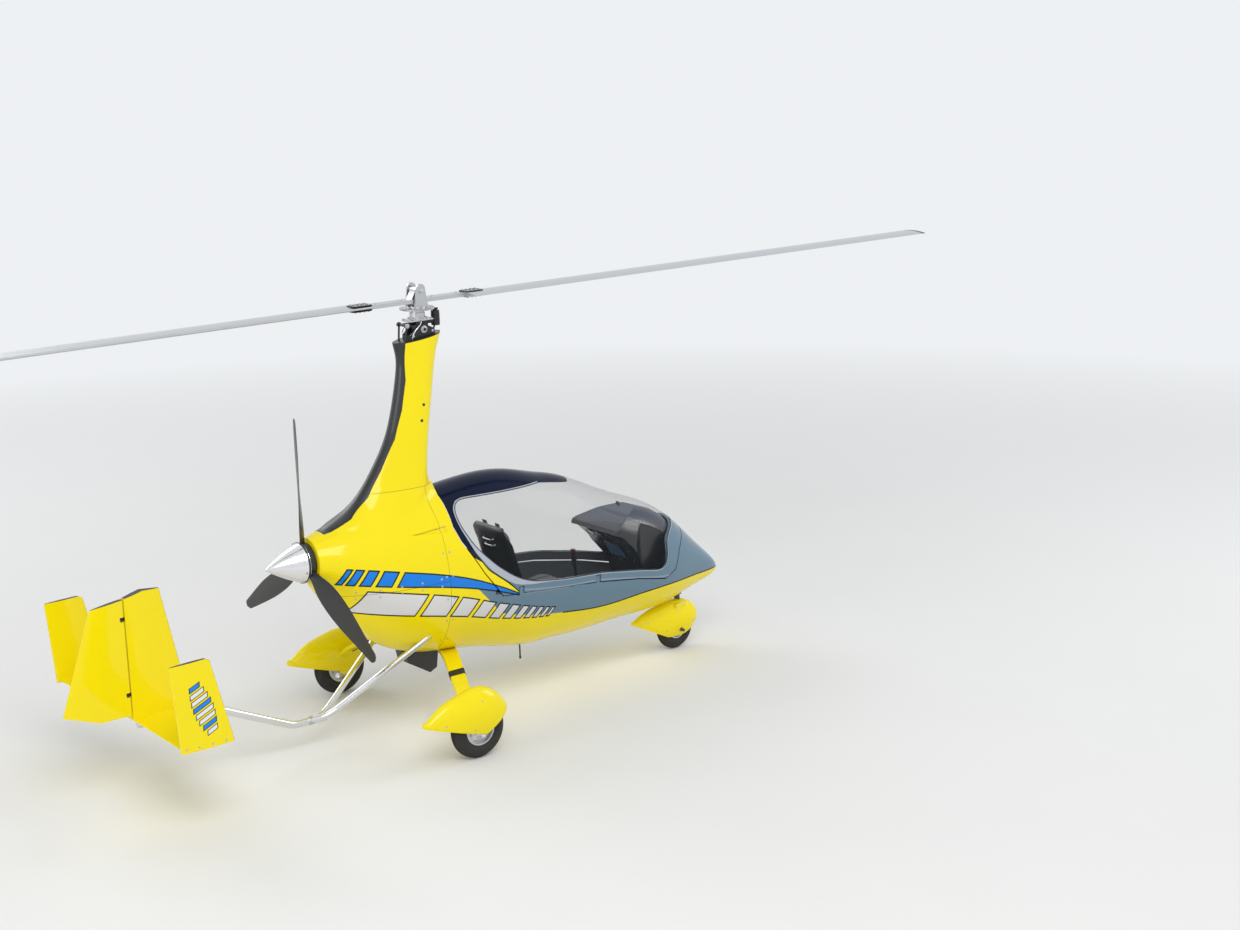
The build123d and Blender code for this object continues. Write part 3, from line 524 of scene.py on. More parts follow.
@dataclass(frozen=True)
class CanopyPaint(GlossPaint):
    """The canopy frame: blue-grey with a painted highlight along the sill's crease, and the body's yellow,
    blue and navy behind the window's surround.
    """

    # Side view lines (x, z): the outer edge of the pale surround, the lower end of the navy pillar, and the
    # crease along the sill, which carries a painted highlight
    BAND = ((-0.10, 1.450), (0.040, 1.300), (0.069, 1.238), (0.080, 1.169), (0.111, 1.095), (0.149, 1.036),
            (0.183, 0.986), (0.251, 0.927), (0.323, 0.870), (0.395, 0.802), (0.450, 0.745))
    NAVY_LOW = ((-0.10, 1.120), (0.060, 1.085), (0.098, 1.060), (0.150, 1.022), (0.185, 1.000),
                (0.230, 1.040), (0.300, 1.100))
    CREASE = ((0.40, 0.800), (0.738, 0.752), (1.054, 0.728), (1.378, 0.668), (1.62, 0.622), (1.80, 0.610))

    # Where the crease starts, and where the colours behind the surround and their border end
    CREASE_X = 0.44
    OUTSIDE_X = 0.47
    BORDER_X = 0.43
    BORDER_HALF = 0.006

    def paint(self, shader: Shader) -> None:
        """Adds the colours, the painted highlight along the sill's crease and the gloss.

        Args:
            shader: The material.
        """
        x, _, z = shader.axes()
        # Painted highlight: a pale silver-grey line along the sill's crease stands for light caught there;
        # the same mask raises the crease by bump
        crease_ridge_and_highlight = (z - shader.line(x, self.CREASE)).near(0.0, 0.004, 0.005) * x.above(self.CREASE_X)
        color = shader.mix(crease_ridge_and_highlight * 0.55, self.color, SILVER_GREY)
        stripe = BodyPaint.STRIPES[0]
        over_stripe = (z - shader.line(x, stripe.middle)).above(0.0)
        rise = z - shader.line(x, self.BAND)
        outside = rise.below(0.0) * over_stripe * x.below(self.OUTSIDE_X)
        navy = (z - shader.line(x, self.NAVY_LOW)).above(0.0)
        color = shader.mix(outside, color, shader.mix(navy, YELLOW, NAVY))
        border = rise.near(-self.BORDER_HALF, self.BORDER_HALF) * x.below(self.BORDER_X)
        color = shader.mix(border, color, BLACK)
        self.cover(shader, stripe.lay(shader, x, z, color))
        shader.bump(shader.noise(self.grain_scale, 3.0) * 0.03 + crease_ridge_and_highlight * 0.5, 0.7, 0.0012)


@dataclass(frozen=True)
class ForkPaint(Finish):
    """The nose fork: black below, yellow on the crown and the boss rings that show on the wheel fairing."""

    painted: Color = YELLOW
    crown: tuple[float, float] = (0.294, 0.330)
    rings: tuple[float, float] = (0.052, 0.0795)

    def paint(self, shader: Shader) -> None:
        """Adds yellow between the heights of the crown and between the widths of the rings.

        Args:
            shader: The material.
        """
        _, y, z = shader.axes()
        crown = z.above(self.crown[0]) * z.below(self.crown[1])
        rings = y.absolute().above(self.rings[0]) * y.absolute().below(self.rings[1])
        self.cover(shader, shader.mix(shader.largest((crown, rings)), self.color, self.painted))


@dataclass(frozen=True)
class Brushed(Finish):
    """Bare metal with fine lines along one direction."""

    metallic: float = 1.0
    along: Point = (0.02, 1.0, 1.0)
    lines: float = 420.0
    line_depth: float = 0.00004

    def paint(self, shader: Shader) -> None:
        """Adds the metal's colour and its drawn lines.

        Args:
            shader: The material.
        """
        drawn = shader.noise(self.lines, 2.0, 0.5, self.along)
        cloud = shader.noise(6.0, 4.0)
        dull = shader.mix(0.86, BLACK, self.color)
        shader.set(Base_Color=shader.mix(cloud * 0.5 + drawn * 0.5, dull, self.color))
        shader.set(Roughness=drawn * 0.12 + cloud * 0.08 + (self.roughness - 0.1))
        shader.bump(drawn, 0.5, self.line_depth)


@dataclass(frozen=True)
class Rubber(Finish):
    """Tyre rubber, dusty at the tread."""

    roughness: float = 0.82
    dust: Color = (0.11, 0.10, 0.085)

    def paint(self, shader: Shader) -> None:
        """Adds the rubber with road dust in patches.

        Args:
            shader: The material.
        """
        patches = shader.noise(22.0, 6.0, 0.7)
        shader.set(Base_Color=shader.mix(patches.above(0.55, 0.25) * 0.22, self.color, self.dust))
        shader.set(Roughness=patches * 0.2 + (self.roughness - 0.1))
        shader.bump(shader.noise(500.0, 3.0), 0.5, 0.00012)


@dataclass(frozen=True)
class Fabric(Finish):
    """Woven seat cover: two crossed sets of threads, with a soft sheen."""

    roughness: float = 0.92
    threads: float = 520.0
    weave_depth: float = 0.0005
    faded: Color = (0.10, 0.10, 0.105)

    def paint(self, shader: Shader) -> None:
        """Adds the weave and a slightly faded colour.

        Args:
            shader: The material.
        """
        x, y, z = shader.axes()
        weave = (y * self.threads).sine() * ((x + z) * self.threads).sine() * 0.5 + 0.5
        worn = shader.noise(9.0, 5.0, 0.6)
        pale = shader.mix(0.55, self.faded, self.color)
        shader.set(Base_Color=shader.mix(weave * 0.45 + worn * 0.3, self.color, pale), Sheen_Weight=0.35)
        shader.set(Roughness=weave * 0.06 + (self.roughness - 0.05))
        shader.bump(weave, 0.6, self.weave_depth)


@dataclass(frozen=True)
class SeatCover(Fabric):
    """Seat fabric with rows of pale stitches beside its sewn channels."""

    channels: tuple[float, ...] = (0.052,)
    stitch_color: Color = (0.20, 0.20, 0.21)
    stitch_pitch: float = 0.009
    # How far beside a channel its two rows run, and half the width of a row
    stitch_offset: float = 0.0062
    stitch_half: float = 0.0009

    def paint(self, shader: Shader) -> None:
        """Adds the weave and the stitches.

        Args:
            shader: The material.
        """
        super().paint(shader)
        x, y, z = shader.axes()
        dashes = ((x + z) * (math.tau / self.stitch_pitch)).sine().above(-0.2, 0.2)
        aside = [(y.absolute() - channel).absolute() for channel in self.channels]
        rows = shader.largest(line.near(self.stitch_offset, self.stitch_half, 0.0004) for line in aside)
        shader.set(Base_Color=shader.mix(rows * dashes, shader.linked("Base Color"), self.stitch_color))


@dataclass(frozen=True)
class Dial(Finish):
    """A round instrument face on a UV map that runs from -1 to 1: tick marks and one needle."""

    ticks: int = 12
    needle: float = 0.8
    mark_color: Color = (0.78, 0.78, 0.74)
    # Shares of the face's radius: the ring of marks with half its width, the needle's ends and its hub
    ring: tuple[float, float] = (0.82, 0.09)
    hand: tuple[float, float] = (-0.15, 0.70)
    hand_half: float = 0.03
    boss: float = 0.10

    def paint(self, shader: Shader) -> None:
        """Adds the black face, its marks and its needle.

        Args:
            shader: The material.
        """
        u, v, _ = shader.split(shader.place.output("UV"))
        u = u * 2.0 - 1.0
        v = v * 2.0 - 1.0
        radius = (u * u + v * v).power(0.5)
        turn = shader.math("ARCTAN2", v, u)
        marks = (turn * self.ticks).sine().above(0.93, 0.03) * radius.near(*self.ring, 0.02)
        side = u * math.sin(self.needle) - v * math.cos(self.needle)
        reach = u * math.cos(self.needle) + v * math.sin(self.needle)
        hand = side.near(0.0, self.hand_half, 0.015)
        hand = hand * reach.above(self.hand[0], 0.02) * reach.below(self.hand[1], 0.02)
        face = shader.mix(shader.largest((marks, hand)), self.color, self.mark_color)
        shader.set(Base_Color=shader.mix(radius.below(self.boss, 0.02), face, (0.02, 0.02, 0.02)))
        shader.set(Roughness=self.roughness, Coat_Weight=0.8)


@dataclass(frozen=True)
class HoodCover(Finish):
    """The glare shield: deep navy moulded cover with a broad black border."""

    border: Color = BLACK
    # The border lies beyond this half width, behind this X, and under the line x * slope + z = height
    border_y: float = 0.172
    border_x: float = 1.300
    border_slope: float = 0.85
    border_height: float = 2.020

    def paint(self, shader: Shader) -> None:
        """Adds the two colours and a leather-like grain.

        Args:
            shader: The material.
        """
        x, y, z = shader.axes()
        sides = y.absolute().above(self.border_y, 0.004)
        front = (x * self.border_slope + z).below(self.border_height, 0.004)
        edge = shader.largest((sides, x.below(self.border_x, 0.004), front))
        self.cover(shader, shader.mix(edge, self.color, self.border))


@dataclass(frozen=True)
class HubPaint(Brushed):
    """Rotor metal: bright along its middle, dark beyond a distance from the hub."""

    dark: Color = (0.03, 0.03, 0.032)
    clamp_x: float = 0.3295

    def paint(self, shader: Shader) -> None:
        """Adds the brushed metal and its dark ends.

        Args:
            shader: The material.
        """
        super().paint(shader)
        ends = shader.axes()[0].absolute().above(self.clamp_x, 0.0003)
        shader.set(Base_Color=shader.mix(ends, shader.linked("Base Color"), self.dark))


@dataclass(frozen=True)
class ClearShell(Finish):
    """Blown clear acrylic: almost invisible face on, bright where it turns away."""

    roughness: float = 0.02

    def paint(self, shader: Shader) -> None:
        """Adds the see-through shell with faint haze.

        Args:
            shader: The material.
        """
        facing = shader.node("ShaderNodeLayerWeight", Blend=0.30).output("Facing")
        haze = shader.noise(2.5, 4.0)
        shader.set(Base_Color=self.color, Specular_IOR_Level=0.8, IOR=1.5)
        shader.set(Alpha=facing.power(3.0) * 0.42 + (haze * 0.02 + 0.035))
        shader.set(Roughness=haze * 0.02 + self.roughness)


@dataclass(frozen=True)
class TailPaint(GlossPaint):
    """Yellow end plates with a column of slanted bars on their outer face."""

    OUTER_Y = 0.795
    # Side view place of the lowest bar, the step from bar to bar, and how many there are
    LOWEST = (-1.935, 0.610)
    STEP = (-0.0125, 0.036)
    BARS = 8
    # Half the height of a bar, half its length at the column's ends and how much longer the middle ones are
    HALF_HEIGHT = 0.011
    HALF_LENGTH = 0.016
    SWELL = 0.034
    SLOPE = 0.45
    OUTLINE = 0.005

    def paint(self, shader: Shader) -> None:
        """Adds the bars and the gloss.

        Args:
            shader: The material.
        """
        x, y, z = shader.axes()
        color: Sock | Color = self.color
        outside = y.absolute().above(self.OUTER_Y, 0.002)
        for index in range(self.BARS):
            middle_x, middle_z = (start + index * step for start, step in zip(self.LOWEST, self.STEP))
            half = self.HALF_LENGTH + self.SWELL * math.sin(math.pi * (index + 1) / (self.BARS + 1))
            across = half - (x - middle_x).absolute()
            up = self.HALF_HEIGHT - (z - middle_z - (x - middle_x) * self.SLOPE).absolute()
            depth = shader.math("MINIMUM", across, up)
            tone = SKY_BLUE if index % 3 == 1 else WHITE
            color = shader.mix(depth.above(-self.OUTLINE) * outside, color, BLACK)
            color = shader.mix(depth.above(0.0) * outside, color, tone)
        self.cover(shader, color)


@dataclass(frozen=True)
class Glow(Finish):
    """A lit screen or a lamp glass behind a glossy cover."""

    strength: float = 0.35

    def paint(self, shader: Shader) -> None:
        """Adds the cover's colour and its own light.

        Args:
            shader: The material.
        """
        self.cover(shader, self.color)
        shader.set(Emission_Color=self.color, Emission_Strength=self.strength)


BODY = BodyPaint("body_livery", "body_yellow", YELLOW)
PAINT = GlossPaint("gloss_yellow", "body_yellow", YELLOW)
ROOF = GlossPaint("gloss_navy", "roof_navy", NAVY, roughness=0.14, coat=0.16, shine=0.06)
FRAME_PAINT = CanopyPaint("gloss_blue_grey", "frame_grey", BLUE_GREY)
FORK_PAINT = ForkPaint("fork_paint", "head_metal", (0.035, 0.035, 0.038), 0.3, coat=0.5)
STRIP_PAINT = GlossPaint("gloss_silver_grey", "frame_grey", SILVER_GREY)
CLEAR = ClearShell("clear_dome", "canopy_clear", (0.075, 0.095, 0.115))
TRIM = Finish("black_trim_satin", "black_trim", (0.012, 0.012, 0.013), 0.38, coat=0.25, grain_depth=0.00005)
SEAL = Finish("window_seal", "black_trim", (0.010, 0.010, 0.011), 0.6, grain_depth=0.0001)
LINING = Finish("cabin_lining", "cabin_grey", (0.055, 0.060, 0.068), 0.75, grain_scale=320,
                grain_depth=0.0004)
CARPET = Finish("cabin_carpet", "cabin_grey", (0.030, 0.032, 0.036), 0.95, grain_scale=900,
                grain_depth=0.0012)
HOOD = HoodCover("hood_cover", "cabin_grey", (0.010, 0.018, 0.050), 0.30, coat=0.35, grain_scale=700,
                 grain_depth=0.00008)
FABRIC = SeatCover("seat_fabric", "cabin_black", (0.011, 0.011, 0.012))
SEAT_SHELL = Finish("seat_shell", "cabin_black", (0.014, 0.014, 0.015), 0.42, coat=0.2, grain_scale=500,
                    grain_depth=0.0001)
DIAL = Dial("dial_face", "cabin_grey", (0.006, 0.006, 0.007), 0.25)
TAIL_PAINT = TailPaint("tail_paint", "body_yellow", YELLOW)
HINGE_PAINT = GlossPaint("hinge_paint", "head_metal", BLUE_GREY)
HUB = HubPaint("hub_bar_metal", "rotor_metal", (0.60, 0.61, 0.63), 0.30, along=(0.01, 1.0, 1.0))
WEBBING = Fabric("belt_webbing", "cabin_black", (0.016, 0.016, 0.018), threads=1400.0, weave_depth=0.0003)
POLISHED = Brushed("polished_tube", "stainless", (0.78, 0.79, 0.81), 0.16, lines=160.0, line_depth=0.00001)
STEEL = Brushed("plain_steel", "stainless", (0.56, 0.56, 0.57), 0.34)
CHROME = Brushed("polished_spinner", "spinner_metal", (0.86, 0.86, 0.87), 0.14, along=(1, 0.04, 0.04),
                 lines=90.0, line_depth=0.00001)
CAST = Finish("cast_engine_metal", "engine_metal", (0.10, 0.10, 0.105), 0.55, 0.7, grain_scale=240,
              grain_depth=0.0003)
HEAD = Finish("black_anodised", "head_metal", (0.035, 0.035, 0.038), 0.36, 0.6, grain_scale=500,
              grain_depth=0.00005)
HEAD_BRIGHT = Brushed("milled_aluminium", "head_metal", (0.58, 0.585, 0.60), 0.32, lines=300.0)
BLADE = HubPaint("rotor_aluminium", "rotor_metal", (0.60, 0.61, 0.63), 0.30, along=(0.01, 1.0, 1.0),
                 clamp_x=4.168)
PROP = Finish("propeller_black", "prop_black", (0.010, 0.010, 0.011), 0.42, coat=0.3, grain_scale=200,
              grain_depth=0.0001)
TYRE = Rubber("tyre_rubber", "tyre", (0.014, 0.014, 0.014))
RIM = Brushed("rim_aluminium", "rim", (0.62, 0.63, 0.65), 0.30, along=(1.0, 0.05, 1.0), lines=260.0)
SCREEN = Glow("instrument_glass", "cabin_grey", (0.02, 0.05, 0.09))
RED = Finish("red_plastic", "cabin_grey", (0.55, 0.02, 0.015), 0.4)


def only(*objects: bpy.types.Object) -> None:
    """Selects just these objects and makes the last one active.

    Args:
        objects: The objects.
    """
    bpy.ops.object.select_all(action="DESELECT")
    for item in objects:
        item.select_set(True)
    bpy.context.view_layer.objects.active = objects[-1]


def edit(obj: bpy.types.Object, pick: Callable[[bpy.types.MeshPolygon], bool] | None = None) -> None:
    """Goes into edit mode on an object with some faces selected.

    Args:
        obj: The object to edit.
        pick: Chooses the faces, or all of them when left out.
    """
    only(obj)
    for face in obj.data.polygons:
        face.select = pick is None or pick(face)
    for edge in obj.data.edges:
        edge.select = False
    for vertex in obj.data.vertices:
        vertex.select = False
    chosen = {index for face in obj.data.polygons if face.select for index in face.vertices}
    for index in chosen:
        obj.data.vertices[index].select = True
    for edge in obj.data.edges:
        edge.select = all(index in chosen for index in edge.vertices)
    bpy.ops.object.mode_set(mode="EDIT")
    bpy.ops.mesh.select_mode(type="FACE")


def leave() -> None:
    """Goes back to object mode."""
    bpy.ops.object.mode_set(mode="OBJECT")


def modify(obj: bpy.types.Object, kind: str, **settings: object) -> None:
    """Adds a modifier with the given settings and applies it.

    Args:
        obj: The object.
        kind: The modifier's type.
        settings: Its settings by name.
    """
    only(obj)
    made = obj.modifiers.new(kind.lower(), kind)
    for key, value in settings.items():
        setattr(made, key, value)
    bpy.ops.object.modifier_apply(modifier=made.name)


def settle(obj: bpy.types.Object) -> None:
    """Moves an object's place, turn and scale into its mesh."""
    only(obj)
    bpy.ops.object.transform_apply(location=True, rotation=True, scale=True)


def put(obj: bpy.types.Object, place: Matrix) -> bpy.types.Object:
    """Places an object by a matrix and moves that into its mesh.

    Args:
        obj: The object.
        place: The matrix.

    Returns:
        The object.
    """
    obj.matrix_world = place
    settle(obj)
    return obj


def smooth(obj: bpy.types.Object, degrees: float = 35.0) -> None:
    """Shades an object smooth, apart from edges sharper than an angle."""
    only(obj)
    bpy.ops.object.shade_smooth_by_angle(angle=math.radians(degrees))


def fuse(objects: Sequence[bpy.types.Object], name: str) -> bpy.types.Object:
    """Joins objects into one mesh with that name.

    Args:
        objects: The objects.
        name: The name.

    Returns:
        The joined object.
    """
    only(*objects)
    if len(objects) > 1:
        bpy.ops.object.join()
    joined = bpy.context.view_layer.objects.active
    joined.name = name
    return joined


def stand(place: Point | Vector, direction: Point | Vector) -> Matrix:
    """The placing of a piece that stands at a place with its Z along a direction."""
    turn = Vector((0, 0, 1)).rotation_difference(Vector(direction).normalized())
    return Matrix.Translation(place) @ turn.to_matrix().to_4x4()


# Width of a cylinder's bevel, as a share of its smaller measure
CYLINDER_BEVEL = 0.12


def moved(frame: Matrix, spot: Vector) -> Matrix:
    """A placing with the turn of a frame, at another place."""
    return Matrix.Translation(spot) @ frame.to_3x3().to_4x4()


def cylinder(radius: float, length: float, middle: Point | Vector, direction: Point | Vector,
             sides: int = 32) -> bpy.types.Object:
    """Adds a bevelled cylinder.

    Args:
        radius: Its radius.
        length: Its length.
        middle: Its centre.
        direction: The direction of its axis.
        sides: How many sides it has.

    Returns:
        The object, with its place in its mesh.
    """
    bpy.ops.mesh.primitive_cylinder_add(vertices=sides, radius=radius, depth=length)
    made = put(bpy.context.active_object, stand(middle, direction))
    modify(made, "BEVEL", width=min(radius, length) * CYLINDER_BEVEL, segments=2, limit_method="ANGLE")
    return made


def box(low: Point, high: Point) -> bpy.types.Object:
    """Adds a plain box between two corners.

    Args:
        low: The lowest corner.
        high: The highest corner.

    Returns:
        The box.
    """
    middle = [(a + b) / 2 for a, b in zip(low, high)]
    bpy.ops.mesh.primitive_cube_add(size=1, location=middle)
    made = bpy.context.active_object
    made.scale = [abs(b - a) for a, b in zip(low, high)]
    settle(made)
    return made


def block(low: Point, high: Point, bevel: float = 0.002) -> bpy.types.Object:
    """Adds a bevelled box between two corners.

    Args:
        low: The lowest corner.
        high: The highest corner.
        bevel: The width of its bevels.

    Returns:
        The block.
    """
    made = box(low, high)
    modify(made, "BEVEL", width=bevel, segments=3, limit_method="ANGLE")
    return made


def tube(points: Sequence[Point | Vector], radius: float, sides: int = 4,
         smooth_line: bool = True) -> bpy.types.Object:
    """Adds a round tube along a line of points.

    Args:
        points: The points of the line.
        radius: The radius of the tube.
        sides: The bevel resolution of the tube.
        smooth_line: Whether the line is a smooth curve through about the points.

    Returns:
        The tube as a mesh.
    """
    data = bpy.data.curves.new("line", "CURVE")
    data.dimensions = "3D"
    data.bevel_depth = radius
    data.bevel_resolution = sides
    data.use_fill_caps = True
    spline = data.splines.new("NURBS" if smooth_line else "POLY")
    spline.points.add(len(points) - 1)
    for held, point in zip(spline.points, points):
        held.co = (*point, 1.0)
    if smooth_line:
        spline.order_u = 3
        spline.use_endpoint_u = True
        spline.resolution_u = 6
    made = bpy.data.objects.new("line", data)
    bpy.context.scene.collection.objects.link(made)
    only(made)
    bpy.ops.object.convert(target="MESH")
    return bpy.context.active_object


def hex_bolt(middle: Point | Vector, normal: Point | Vector, radius: float,
             height: float) -> bpy.types.Object:
    """Adds a hexagonal bolt head on a washer a third of its height, standing on a surface.

    Args:
        middle: Its place on the surface.
        normal: The direction that it stands in.
        radius: The radius of the head.
        height: The height of the whole.

    Returns:
        The bolt.
    """
    washer = cylinder(radius * 1.35, height * 0.35, (0, 0, height * 0.175), (0, 0, 1), 20)
    head = cylinder(radius, height * 0.75, (0, 0, height * 0.7), (0, 0, 1), 6)
    return put(fuse([washer, head], "bolt"), stand(middle, normal))


def built(mesh: bmesh.types.BMesh, name: str) -> bpy.types.Object:
    """Turns a bmesh into an object of the scene.

    Args:
        mesh: The bmesh, which is freed.
        name: The object's name.

    Returns:
        The object.
    """
    data = bpy.data.meshes.new(name)
    mesh.to_mesh(data)
    mesh.free()
    made = bpy.data.objects.new(name, data)
    bpy.context.scene.collection.objects.link(made)
    return made


def sheet(name: str, *runs: Sequence[Sequence[Vector]], ring: bool = False,
          flip: bool = False) -> bpy.types.Object:
    """Adds a surface through rows of points.

    Args:
        name: Its name.
        runs: The rows of each part of the surface, with as many points in every row.
        ring: Whether each row closes on itself, with the two end rows filled.
        flip: Whether the faces look the other way.

    Returns:
        The object.
    """
    mesh = bmesh.new()
    for rows in runs:
        held = [[mesh.verts.new(point) for point in row] for row in rows]
        for low, high in zip(held, held[1:]):
            for index in range(len(low) if ring else len(low) - 1):
                after = (index + 1) % len(low)
                corners = (low[index], low[after], high[after], high[index])
                mesh.faces.new(corners[::-1] if flip else corners)
        if ring:
            mesh.faces.new(held[0][::-1])
            mesh.faces.new(held[-1])
    return built(mesh, name)


def spread(corners: Sequence[Vector], step: float) -> list[Vector]:
    """Points along the straight runs between corners, about a step apart.

    Args:
        corners: The corners.
        step: The step.

    Returns:
        The points.
    """
    dense: list[Vector] = []
    for start, end in zip(corners, corners[1:]):
        count = max(2, int((end - start).length / step))
        dense += [start.lerp(end, index / count) for index in range(count)]
    return [*dense, corners[-1]]


def eased(run: Sequence[Vector], times: int) -> list[Vector]:
    """A run of points that all but the ends have been moved towards their neighbours some times.

    Args:
        run: The points.
        times: How many times they move.

    Returns:
        The moved points.
    """
    held = list(run)
    for _ in range(times):
        inner = [(a + b * 2 + c) / 4 for a, b, c in zip(held, held[1:], held[2:])]
        held = [held[0], *inner, held[-1]]
    return held


def between(rows: Sequence[Sequence[float]], place: float) -> list[float]:
    """Reads a table between its rows.

    Args:
        rows: The rows, each a place and its values, in the order of the places.
        place: The place.

    Returns:
        The values at that place, or those of the nearest end.
    """
    for low, high in zip(rows, rows[1:]):
        if place <= high[0]:
            share = max(0.0, (place - low[0]) / (high[0] - low[0]))
            return [a + (b - a) * share for a, b in zip(low[1:], high[1:])]
    return list(rows[-1][1:])


def tree_of(*meshes: bpy.types.Mesh) -> BVHTree:
    """A tree of the faces of some meshes, to find places on them.

    Args:
        meshes: The meshes.

    Returns:
        The tree.
    """
    points: list[Vector] = []
    faces: list[tuple[int, ...]] = []
    for mesh in meshes:
        start = len(points)
        points += [vertex.co.copy() for vertex in mesh.vertices]
        faces += [tuple(start + index for index in face.vertices) for face in mesh.polygons]
    return BVHTree.FromPolygons(points, faces)


class Workshop:
    """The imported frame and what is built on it: copies of its nodes, and every finished piece."""

    def __init__(self, frame: dict) -> None:
        """Keeps the frame and which body each node belongs to.
        """
        self.frame = frame
        bodies = frame["record"]["behaviour"]["bodies"]
        self.body_of = {node: body for body, nodes in bodies.items() for node in nodes}
        self.skins: dict[str, BVHTree] = {}

    def copy(self, node: str, degrees: float = 30.0) -> bpy.types.Object:
        """A welded, smooth copy of a CAD node's mesh.

        Args:
            node: The node to copy.
            degrees: Edges sharper than this stay sharp.

        Returns:
            The copy.
        """
        source = self.frame["nodes"][node]
        made = bpy.data.objects.new(node + "_piece", source.data.copy())
        bpy.context.scene.collection.objects.link(made)
        made.data.materials.clear()
        edit(made)
        bpy.ops.mesh.remove_doubles(threshold=0.00002)
        leave()
        if "custom_normal" in made.data.attributes:
            made.data.attributes.remove(made.data.attributes["custom_normal"])
        smooth(made, degrees)
        return made

    def add(self, obj: bpy.types.Object, name: str, finish: Finish, body: str, *nodes: str) -> None:
        """Finishes a piece, attaches it to the body that carries it and hides the nodes that it stands for.

        Args:
            obj: The piece.
            name: Its name.
            finish: Its finish.
            body: The body that it moves with.
            nodes: The CAD nodes that it replaces.
        """
        obj.name = name
        if not obj.data.materials:
            obj.data.materials.append(finish.build())
        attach(obj, body)
        if nodes:
            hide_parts(*nodes)
        log.info("%s on %s, %d faces", name, body, len(obj.data.polygons))

    def dress(self, node: str, finish: Finish, degrees: float = 30.0, second: Finish | None = None,
              where: Callable[[bpy.types.MeshPolygon], bool] | None = None) -> None:
        """Shows a CAD node as a smooth copy of itself in one finish or two.

        Args:
            node: The node.
            finish: The finish of its faces.
            degrees: Edges sharper than this stay sharp.
            second: The finish of some of its faces.
            where: Chooses those faces, or the ones that look into the body when left out.
        """
        made = self.copy(node, degrees)
        if second is not None:
            made.data.materials.append(finish.build())
            made.data.materials.append(second.build())
            for face in made.data.polygons:
                face.material_index = int((where or self.looks_inside)(face))
        self.add(made, node + "_skin", finish, self.body_of[node], node)

    # Height and dish of a countersunk screw head, and the width of its rim as a share of its radius
    SCREW_HEIGHT = 0.0016
    SCREW_DISH = 0.0007
    SCREW_RIM = 0.45
    # Height of the middle of the body along X, from tail to nose
    MIDDLE_LINE = ((-0.85, 1.158), (-0.50, 0.990), (0.05, 0.880), (0.80, 0.820), (1.60, 0.690),
                   (2.30, 0.500))

    def looks_inside(self, face: bpy.types.MeshPolygon) -> bool:
        """Whether a face of a body shell looks towards the middle of the body.

        Args:
            face: The face.

        Returns:
            True for such a face.
        """
        x, y, z = face.center
        inward = Vector((0.0, -y, between(self.MIDDLE_LINE, x)[0] - z))
        return inward.length > 0.01 and face.normal.dot(inward.normalized()) > 0.35

    def skin(self, *nodes: str) -> BVHTree:
        """A tree of the faces of some nodes, to seat small pieces on.

        Args:
            nodes: The nodes.

        Returns:
            The tree.
        """
        key = "+".join(nodes)
        if key not in self.skins:
            self.skins[key] = tree_of(*(self.frame["nodes"][node].data for node in nodes))
        return self.skins[key]

    def spots(self, tree: BVHTree, places: Iterable[Sequence[float]],
              sides: Iterable[Side] = tuple(Side)) -> list[tuple[Vector, Vector]]:
        """Finds places on a skin.

        Args:
            tree: The skin.
            places: The side view places (x, z).
            sides: The sides of the aircraft from which to look.

        Returns:
            The point of the skin and its outward normal there, for each place that has a skin.
        """
        found = []
        for side in sides:
            for x, z in places:
                start, way = Vector((x, side.value * 2.0, z)), Vector((0, -side.value, 0))
                spot, normal, _, _ = tree.ray_cast(start, way)
                if spot is not None:
                    found.append((spot, normal))
        return found

    def join(self, objects: Sequence[bpy.types.Object], name: str, finish: Finish, body: str,
             degrees: float = 35.0) -> None:
        """Fuses objects into one smooth piece and finishes it.

        Args:
            objects: The objects.
            name: The name of the piece.
            finish: Its finish.
            body: The body that it moves with.
            degrees: Edges sharper than this stay sharp.
        """
        piece = fuse(objects, name)
        smooth(piece, degrees)
        self.add(piece, name, finish, body)

    def screws(self, spots: Iterable[tuple[Vector, Vector]], radius: float, name: str, body: str) -> None:
        """Sets countersunk steel screws into a skin as one piece.

        Args:
            spots: Place and outward normal of each screw.
            radius: The radius of a screw head.
            name: The name of the piece.
            body: The body that they ride on.
        """
        made = []
        for spot, normal in spots:
            bpy.ops.mesh.primitive_cylinder_add(vertices=12, radius=radius, depth=self.SCREW_HEIGHT)
            head = bpy.context.active_object
            edit(head, lambda face: face.normal.z > 0.9)
            bpy.ops.mesh.inset(thickness=radius * self.SCREW_RIM)
            bpy.ops.transform.translate(value=(0, 0, -self.SCREW_DISH))
            leave()
            made.append(put(head, stand(spot, normal)))
        if made:
            self.join(made, name, STEEL, body, 40)


